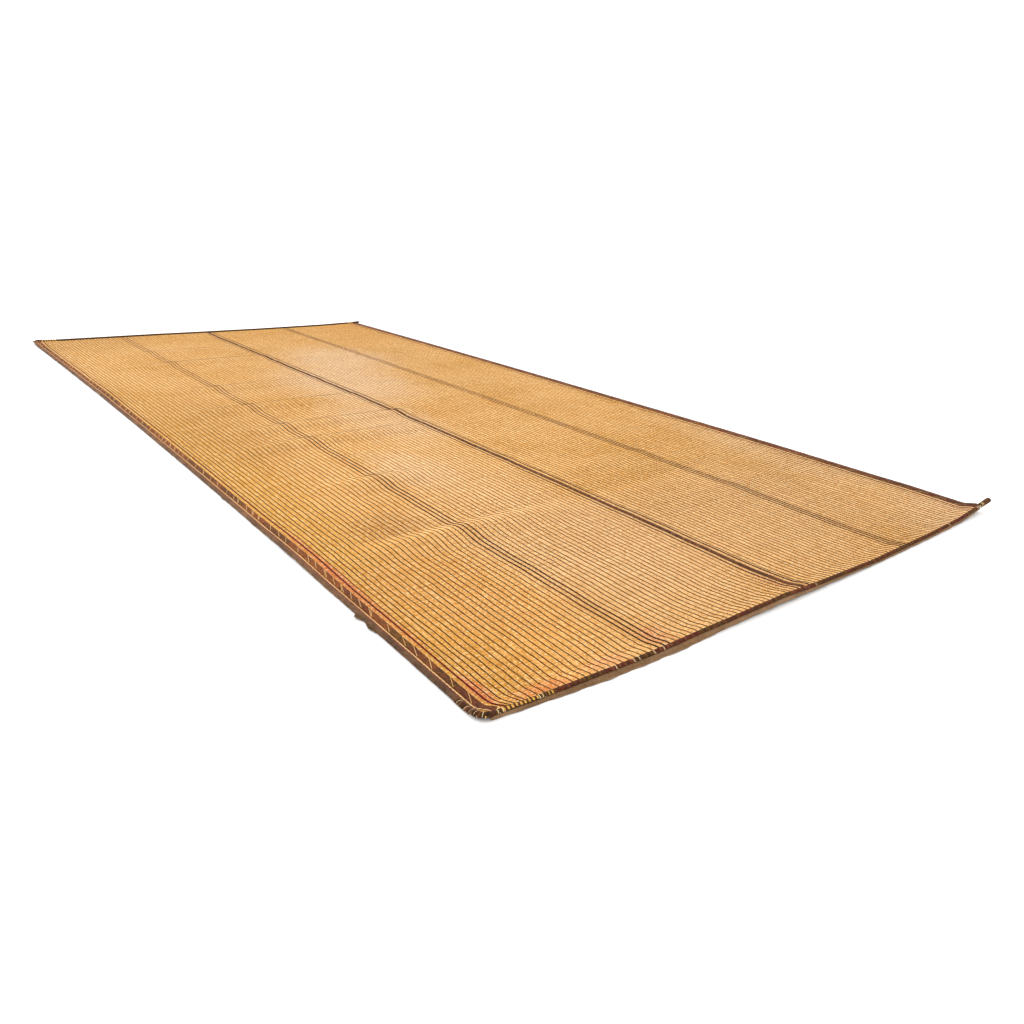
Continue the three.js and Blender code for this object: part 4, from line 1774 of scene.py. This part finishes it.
@dataclass
class EndRoll:
    """The roll along one end, and the leather wound round it."""

    end: End
    wraps: tuple[Wrap, ...]
    tip: tuple[Wrap, ...]
    tip_reach: float  # how far past the right-hand corner the rod goes
    tip_rise: float  # how much higher its tip ends
    threads: tuple[float, ...] = ()  # where a thin pale thread goes once round
    thread_slip: float = 0.0015  # how far from its place a thread may be
    pitch: float = 0.0045
    roll_width: float = 0.0098
    roll_height: float = 0.0054
    roll_run: tuple[float, float] = (-0.982, 0.992)  # where across the mat the roll starts and stops
    thickness: float = 0.0014  # of the winding
    inset: float = 0.0058  # how far inside the mat's end the middle of the roll lies
    up: float = 0.0033
    rod_from: float = 0.985  # where across the mat the rod starts
    rod_size: float = 0.0112
    tip_size: float = 0.0150

    def winding(self, shop: Workshop, wraps: Sequence[Wrap], rise: float = 0.0) -> list[SeedLine]:
        """Makes the seed lines of some wraps.

        Args:
            shop: the workshop.
            wraps: the stretches.
            rise: how far the last of them climbs.

        Returns:
            One line for each run of one dye.
        """
        along = shop.from_end(self.end, self.inset)
        first, last = wraps[0].start, wraps[-1].stop
        lines = []
        for wrap in wraps:
            place, index = wrap.start, 0
            run = self.pitch * (1 if wrap.open else wrap.turns)
            while place < wrap.stop - 0.3 * self.pitch:
                stop = min(place + run, wrap.stop)
                heights = [self.up + rise * (u - first) / (last - first) for u in (place, stop)]
                points = [(place, along, heights[0]), (stop, along, heights[1])]
                lines.append(SeedLine(points, shop.chance.random(), wrap.dyes[index % len(wrap.dyes)]))
                place += run + wrap.open
                index += 1
        return lines

    def build(self, shop: Workshop) -> None:
        """Makes the roll and its winding, the rod and its tip, and the threads.

        Args:
            shop: the workshop.
        """
        name, along = self.end.name.lower(), shop.from_end(self.end, self.inset)
        points = [(u, along, self.up) for u in np.linspace(*self.roll_run, 400).tolist()]
        shop.piece(
            f"end_roll_{name}", [SeedLine(points, 0.5, Dye.GOLD)], shop.strands, "straw", "reed",
            Width=self.roll_width - 0.001, Height=self.roll_height - 0.001, Sides=10, Uneven=0.12,
        )
        shop.piece(
            f"end_winding_{name}", self.winding(shop, self.wraps), shop.windings, "end_leather",
            "end_leather", (f"end_binding_{name}",),
            Turn=self.pitch, Roll_Width=self.roll_width, Roll_Height=self.roll_height,
            Thong_Width=self.pitch * 1.06, Thong_Height=self.thickness, Uneven=0.16,
        )
        rod_to = shop.mat.half_width + self.tip_reach
        points = [(self.rod_from, along, self.up), (rod_to, along, self.up + self.tip_rise)]
        shop.piece(
            f"end_rod_{name}", [SeedLine(points)], shop.strands, "end_leather", "end_leather",
            (f"end_core_{name}",),
            Step=0.004, Width=self.rod_size, Height=self.rod_size, Sides=10, Uneven=0.3,
        )
        shop.piece(
            f"end_tip_{name}", self.winding(shop, self.tip, self.tip_rise), shop.windings,
            "end_leather", "end_leather",
            Turn=self.pitch, Roll_Width=self.tip_size, Roll_Height=self.tip_size,
            Thong_Width=self.pitch * 1.1, Thong_Height=0.0016, Uneven=0.25,
        )
        ties = []
        for place in self.threads:
            start = place + shop.chance.uniform(-self.thread_slip, self.thread_slip)
            points = [(start, along, self.up), (start + self.pitch, along, self.up)]
            ties.append(SeedLine(points, shop.chance.random(), Dye.CREAM))
        if ties:
            shop.piece(
                f"end_threads_{name}", ties, shop.windings, "cream", "cord",
                Turn=self.pitch, Roll_Width=self.roll_width + THREAD_STANDS,
                Roll_Height=self.roll_height + THREAD_STANDS, Thong_Width=0.0018,
                Thong_Height=0.0010,
            )


@dataclass
class Hem:
    """The tan leather that hangs under the near end; its tan also stands for the painted shade under
    the lifted end.

    Its foot flares out on the floor at the left as a painted shadow, a tan sheet where the end's shade
    falls, and hangs clear of it further right.
    """

    start: float = -0.968
    stop: float = 0.986
    step: float = 0.005
    inset: float = 0.0012
    depth: float = 0.0125  # how far in under the mat it goes
    # the flared foot is painted shadow: a tan sheet on the floor where the end's shade falls
    shadow_flare_at: tuple[float, ...] = (-0.968, -0.90, -0.78, -0.70, -0.50, -0.44, -0.38, -0.28)
    shadow_flare: tuple[float, ...] = (0.001, 0.004, 0.009, 0.012, 0.011, 0.008, 0.003, 0.0)
    clear_at: tuple[float, ...] = (-0.36, -0.26, -0.14, 0.0, 0.22, 0.32, 0.78, 0.84, 0.94, 0.985)
    clear: tuple[float, ...] = (0.0, 0.002, 0.005, 0.004, 0.003, 0.0, 0.0, 0.001, 0.011, 0.017)

    def build(self, shop: Workshop) -> None:
        """Makes the hem.

        Args:
            shop: the workshop.
        """
        across = np.arange(self.start, self.stop, self.step)
        outer = shop.from_end(End.NEAR, self.inset)
        underside = shop.mat.height(across, np.full_like(across, outer))
        wave = 0.0005 * np.sin(across * 61) + 0.0003 * np.sin(across * 143)
        foot = 0.0009 + wave + np.interp(across, self.clear_at, self.clear)
        shadow_flare = np.interp(across, self.shadow_flare_at, self.shadow_flare) + 2 * wave
        rings = []
        for u, high, low, out in np.stack([across, underside, foot, shadow_flare], axis=-1).tolist():
            bottom = low - high
            bulge = 0.0006 * math.sin(u * 90)
            section = (  # inwards from the end's face, and up from the reeds' underside
                (self.depth, -0.0015), (0.002, -0.0015), (0.0, -0.0035),
                (bulge - 0.25 * out, bottom * 0.6 - 0.002), (0.0004 - out, bottom + 0.001),
                (0.0022 - out, bottom), (0.0050 - 0.6 * out, bottom + 0.0005), (0.0065, -0.0065),
                (self.depth, -0.0068),
            )
            rings.append([(u, outer + inward, up) for inward, up in section])
        # the hem's tan stands partly for the shade under the lifted near end
        shop.loft("end_hem", np.array(rings), "hem", ("end_hem_near",), Dye.TAN)


@dataclass(frozen=True)
class Flap:
    """A torn bit of edge leather that stands out from a side."""

    side: Side
    along: float
    length: float
    out: float
    peak: float  # where along the flap it stands out most, from 0 to 1
    rise: float = 0.001


@dataclass
class TornEdge:
    """The torn bits along both sides."""

    flaps: tuple[Flap, ...] = (
        Flap(Side.LEFT, -1.664, 0.034, 0.011, 0.6, 0.004),
        Flap(Side.LEFT, -1.722, 0.052, 0.007, 0.55, 0.001),
        Flap(Side.LEFT, -0.781, 0.020, 0.004, 0.5, 0.002),
        Flap(Side.RIGHT, -1.723, 0.024, 0.004, 0.5, 0.003),
        Flap(Side.RIGHT, -1.853, 0.028, 0.004, 0.4, 0.002),
    )
    rings: int = 14
    ragged: float = 0.12  # how uneven a flap's rim is
    tuck: float = 0.003  # how far a flap goes in under the edge leather
    least: float = 0.0004  # how far it stands out at its ends

    def build(self, shop: Workshop) -> None:
        """Makes each torn bit.

        Args:
            shop: the workshop.
        """
        for number, flap in enumerate(self.flaps, 1):
            rings = []
            for share in np.linspace(0, 1, self.rings).tolist():
                slope = share / flap.peak if share < flap.peak else (1 - share) / (1 - flap.peak)
                ragged = 1 + shop.chance.uniform(-self.ragged, self.ragged)
                out = flap.out * slope * ragged + self.least
                along = flap.along + (share - 0.5) * flap.length
                section = (  # outwards from the mat's side, and up from the reeds' underside
                    (-self.tuck, 0.0034), (out * 0.5, 0.0036), (out, 0.002),
                    (out * 0.5, 0.0010), (-self.tuck, 0.0008),
                )
                ring = []
                for outward, up in section:
                    across = flap.side.value * (shop.mat.half_width + outward)
                    lift = flap.rise * slope * max(outward, 0) / flap.out
                    ring.append((across, along, up + lift))
                rings.append(ring)
            shop.loft(
                f"torn_edge_{number}", np.array(rings), "edge_leather", (),
                Dye.OLIVE,
            )


@dataclass
class Corner:
    """The winding that carries the left side's roll round into the near end."""

    edge: SideEdge
    lead: float = 0.062  # how far up the side it starts
    turn: float = 0.0042
    thread_turn: float = 1.3  # a thread's turn is this many times as long
    up: tuple[float, float] = (0.0029, 0.0033)
    dyes: tuple[Dye, ...] = (
        Dye.GREY, Dye.BLACK, Dye.GREY, Dye.UMBER, Dye.BLACK, Dye.PLUM, Dye.BLACK, Dye.GREY,
        Dye.BLACK, Dye.UMBER, Dye.BLACK, Dye.BLACK,
    )
    threads: tuple[float, ...] = (0.012, 0.037, 0.054, 0.066, 0.079)

    def path(self, shop: Workshop) -> list[Point]:
        """The middle of the roll, from the side into the end, in even steps.

        Args:
            shop: the workshop.

        Returns:
            The path's points.
        """
        drawn = np.array(self.edge.path(shop, self.edge.roll_width / 2, self.up[0], 0.0015))
        lengths = np.append(np.cumsum(np.linalg.norm(np.diff(drawn, axis=0), axis=1)[::-1])[::-1], 0)
        keep = self.lead + self.edge.corner * math.pi / 2
        drawn, left = drawn[lengths < keep], lengths[lengths < keep]
        share = smooth_rise(1 - left / (self.edge.corner * math.pi / 2))
        drawn[:, 2] += (self.up[1] - self.up[0]) * share
        return [tuple(point) for point in drawn.tolist()]

    def stretch(self, path: Sequence[Point], first: float, last: float) -> list[Point]:
        """Cuts a stretch out of the path.

        Args:
            path: the path.
            first: where the stretch starts along it.
            last: where it stops.

        Returns:
            The stretch's points.
        """
        points = np.array(path)
        lengths = np.append(0, np.cumsum(np.linalg.norm(np.diff(points, axis=0), axis=1)))
        places = np.linspace(first, min(last, lengths[-1]), 8)
        columns = [np.interp(places, lengths, points[:, axis]) for axis in range(3)]
        return [tuple(point) for point in np.stack(columns, axis=-1).tolist()]

    def build(self, shop: Workshop) -> None:
        """Makes the winding and the pale threads over it.

        Args:
            shop: the workshop.
        """
        path = self.path(shop)
        run = (self.lead + self.edge.corner * math.pi / 2) / len(self.dyes)
        lines = [
            SeedLine(self.stretch(path, i * run, (i + 1) * run), shop.chance.random(), dye)
            for i, dye in enumerate(self.dyes)
        ]
        wide, high = self.edge.roll_width + 0.0006, self.edge.roll_height + 0.0004
        shop.piece(
            "corner_winding", lines, shop.windings, "end_leather", "end_leather",
            Turn=self.turn, Roll_Width=wide, Roll_Height=high, Thong_Width=self.turn,
            Thong_Height=0.0016, Uneven=0.25,
        )
        turn = self.turn * self.thread_turn
        ties = [
            SeedLine(self.stretch(path, place, place + turn), 0.5, Dye.CREAM)
            for place in self.threads
        ]
        shop.piece(
            "corner_threads", ties, shop.windings, "cream", "cord",
            Turn=turn, Roll_Width=wide + THREAD_STANDS, Roll_Height=high + THREAD_STANDS,
            Thong_Width=0.0012, Thong_Height=0.0009,
        )


# --- The studio ---


@dataclass
class Studio:
    """The floor, the light and the camera."""

    eye: Point = (-1.7266, -3.1186, 0.8877)  # from the middle of the mat
    azimuth: float = -38.622
    elevation: float = 21.169
    roll: float = 2.383
    lens: float = 28.719
    sky: float = 1.52
    lamp_from: Point = (-2.2, 3.0, 4.6)
    lamp_spread: float = 50.0
    lamp_power: float = 0.9
    floor_reach: float = 400.0

    def build(self, mat: MatForm) -> None:
        """Sets up the studio round the mat.

        Args:
            mat: the form of the mat.
        """
        self.build_floor()
        self.build_lights()
        self.build_camera(mat)

    def build_floor(self) -> None:
        """Lays a floor that runs on past anything the camera sees."""
        reach = self.floor_reach
        mesh = bpy.data.meshes.new("floor")
        corners = [(-reach, -reach, 0), (reach, -reach, 0), (reach, reach, 0), (-reach, reach, 0)]
        mesh.from_pydata(corners, [], [(0, 1, 2, 3)])
        mesh.materials.append(FloorFinish().build())
        shown("floor", mesh)

    def build_lights(self) -> None:
        """Lights the scene with an even white sky and one broad, far lamp."""
        world = bpy.data.worlds.new("sky")
        world.use_nodes = True
        background = world.node_tree.nodes["Background"]
        background.inputs["Color"].default_value = (1, 1, 1, 1)
        background.inputs["Strength"].default_value = self.sky
        bpy.context.scene.world = world
        lamp = bpy.data.lights.new("lamp", "SUN")
        lamp.angle = math.radians(self.lamp_spread)
        lamp.energy = self.lamp_power
        aim = Vector(self.lamp_from).to_track_quat("Z", "Y")
        shown("lamp", lamp).rotation_euler = aim.to_euler()

    def build_camera(self, mat: MatForm) -> None:
        """Sets the camera where it sees the mat from its near left corner.

        Args:
            mat: the form of the mat.
        """
        turn, tilt, lean = (math.radians(a) for a in (self.azimuth, self.elevation, self.roll))
        level = math.cos(tilt)
        ahead = Vector((-math.sin(turn) * level, math.cos(turn) * level, -math.sin(tilt)))
        right = ahead.cross(Vector((0, 0, 1))).normalized()
        above = right.cross(ahead)
        leaned_right = right * math.cos(lean) + above * math.sin(lean)
        leaned_above = above * math.cos(lean) - right * math.sin(lean)
        camera = bpy.data.cameras.new("camera")
        camera.lens = self.lens
        camera.sensor_width = 36
        camera.clip_end = 500
        stand = shown("camera", camera)
        turned = Matrix((leaned_right, leaned_above, -ahead)).transposed().to_4x4()
        stand.matrix_world = Matrix.Translation(Vector(self.eye) + mat.origin) @ turned
        bpy.context.scene.camera = stand


def make_finishes(effects: Effects, reeds: ReedField, mat: MatForm) -> dict[str, bpy.types.Material]:
    """Makes every finish of the mat.

    Args:
        effects: the shared shader groups.
        reeds: the reeds, whose gaps their finish darkens with painted shade.
        mat: the form of the mat.

    Returns:
        The materials by name.
    """
    finishes = [
        ReedFinish(reeds.exact_pitch(mat), reeds.reach(mat)),
        ThongFinish("thin_thong", "3a1e08", "6c4014", "160a02"),
        ThongFinish("heavy_thong", "421c08", "704018", "160a04", 0.0126, 1.2, 0.0008),
        ThongFinish("red_thong", "66180c", "542410", "240a05", 0.0126, 1.2, 0.0008),
        ThongFinish("cream_cord", "f4ca96", "e8b07c", "a0643a", 0.0060, 1.5, 0.0006),
        LeatherFinish("edge_leather", "a07856", 0.45, creases=120.0, relief=0.0010, soiled=0.45),
        LeatherFinish("lip_leather", "a87048", 0.25, soiled=0.35),
        LeatherFinish(
            "strip_leather", "8c5420", 0.10, creases=110.0, relief=0.0007, speckled=0.42, soiled=0.3
        ),
        LeatherFinish("centre_leather", "6c4218", 0.10, creases=110.0, relief=0.0007, speckled=0.28),
        LeatherFinish("end_leather", "7c4c2e", 0.10, creases=150.0, relief=0.0010, speckled=0.14),
        LeatherFinish("straw", "c89a50", 0.3, "8a5c2a", creases=160.0),
        # the hem's tan, which also stands for the painted shade under the near end
        LeatherFinish("hem", "98785c", 0.45, "5a4430", creases=45.0),
        LeatherFinish("cream", "f0ddb4", 0.4, "a5814f", creases=200.0, relief=0.0003),
    ]
    return {finish.name: finish.build(effects) for finish in finishes}


def near_wraps(chance: random.Random) -> tuple[Wrap, ...]:
    """Lists the winding along the near end, from the left corner to the right.

    Args:
        chance: the random numbers to use.

    Returns:
        The stretches.
    """
    most_turns = 60  # more than the longest stretch takes
    maroon, olive, black, umber = Dye.MAROON, Dye.OLIVE, Dye.BLACK, Dye.UMBER
    rust, plum = Dye.RUST, Dye.PLUM
    made = [
        Wrap(-0.969, -0.945, (black, umber, black, olive), 1),
        Wrap(-0.945, -0.858, (umber,), open=0.0050),
        Wrap(-0.858, -0.838, (black, olive), 1),
        Wrap(-0.838, -0.822, (Dye.GOLD, umber), 1),
    ]
    reds, greens = (maroon, maroon, umber, maroon, plum), (umber, olive, umber, black)
    browns = (maroon, umber, maroon, black, umber, rust)
    for stop, dyes in (
        (-0.758, reds), (-0.705, greens), (-0.615, reds), (-0.560, greens), (-0.42, reds),
        (-0.34, greens), (-0.16, browns), (-0.09, greens), (0.010, (*reds, rust)), (0.15, greens),
        (0.42, browns), (0.52, greens), (0.79, browns), (0.89, reds), (0.945, greens),
        (0.962, reds), (0.992, (Dye.CREAM, maroon, Dye.CREAM, plum)),
    ):
        picked = tuple(chance.choice(dyes) for _ in range(most_turns))
        made.append(Wrap(made[-1].stop, stop, picked, 1))
    return tuple(made)


def far_wraps() -> tuple[Wrap, ...]:
    """The winding along the far end, with bare roll beside both corners.

    Returns:
        The stretches.
    """
    maroon, olive, black, umber = Dye.MAROON, Dye.OLIVE, Dye.BLACK, Dye.UMBER
    return (
        Wrap(-0.982, -0.955, (maroon, umber)),
        Wrap(-0.955, -0.875, (umber,), open=0.0085),
        Wrap(-0.875, -0.30, (black, olive, black)),
        Wrap(-0.30, 0.25, (olive, black)),
        Wrap(0.25, 0.930, (black, black, umber)),
        Wrap(0.930, 0.970, (umber,), open=0.0085),
        Wrap(0.970, 0.992, (black,)),
    )


def main() -> None:
    """Makes the mat and the studio, piece by piece."""
    logging.basicConfig(level=logging.INFO, format="%(message)s")
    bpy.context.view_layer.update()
    mat = MatForm()
    Studio().build(mat)
    field_of_reeds = ReedField()
    shop = Workshop(mat, make_finishes(Effects(), field_of_reeds, mat))
    chance = random.Random(7)

    reeds = field_of_reeds.build(shop)
    Thongs().build(shop)
    left_edge = SideEdge(Side.LEFT)
    left_edge.build(shop)
    SideEdge(
        Side.RIGHT, corner=0.016, roll_width=0.0100, roll_height=0.0080, cord_in=0.0186,
        cord="heavy_thong",
    ).build(shop)
    maroon, olive, umber, rust = Dye.MAROON, Dye.OLIVE, Dye.UMBER, Dye.RUST
    left = [(0.12, maroon), (0.19, umber), (0.26, rust), (0.29, maroon), (0.38, olive), (0.47, rust)]
    left += [(0.50, maroon), (0.56, umber), (0.62, maroon), (0.74, rust)]
    Strip(
        "border_strip_left", shop.from_side(Side.LEFT, 0.0290), 0.0175,
        panels(left, (rust, rust, rust, maroon, umber), chance),
        seams(0.075, 0.040, 0.085, 0.038, chance), 0.0150, ("side_strip_left",),
    ).build(shop)
    right = [(0.12, maroon), (0.14, olive), (0.18, maroon), (0.20, olive), (0.33, umber)]
    Strip(
        "border_strip_right", shop.from_side(Side.RIGHT, 0.0275), 0.0165,
        panels(right, (maroon, umber, umber, rust), chance),
        seams(0.060, 0.050, 0.075, -0.038, chance), 0.0140, ("side_strip_right",),
        lace_dye=Dye.TAN,
    ).build(shop)
    Strip(
        "centre_strip_leather", -0.0240, 0.0170,
        panels([(0.10, umber), (0.20, Dye.BLACK)], (umber, umber, Dye.BLACK), chance),
        seams(0.30, 0.018, 0.040, 0.008, chance), 0.0180, ("centre_strip",),
        lace_dye=Dye.RUST, finish="centre_leather",
    ).build(shop)
    near_tip = (Wrap(0.990, 1.001, (Dye.CREAM, maroon), 1), Wrap(1.001, 1.060, (Dye.GREY, umber), 2))
    ties = (-0.955, -0.943, -0.860, -0.852, -0.667, -0.617, -0.603, -0.561, -0.532, 0.012, 0.752)
    EndRoll(End.NEAR, near_wraps(chance), near_tip, 0.066, 0.004, ties).build(shop)
    far_tip = (Wrap(0.992, 1.012, (Dye.BLACK,)),)
    EndRoll(
        End.FAR, far_wraps(), far_tip, 0.024, 0.001, roll_width=0.0126, roll_height=0.0105,
        thickness=0.0019, inset=0.0072, up=0.0064, tip_size=0.0124,
    ).build(shop)
    Hem().build(shop)
    TornEdge().build(shop)
    Corner(left_edge).build(shop)

    bpy.data.objects.remove(shop.form)
    bpy.context.scene.view_settings.view_transform = "Standard"


if __name__ == "__main__":
    main()
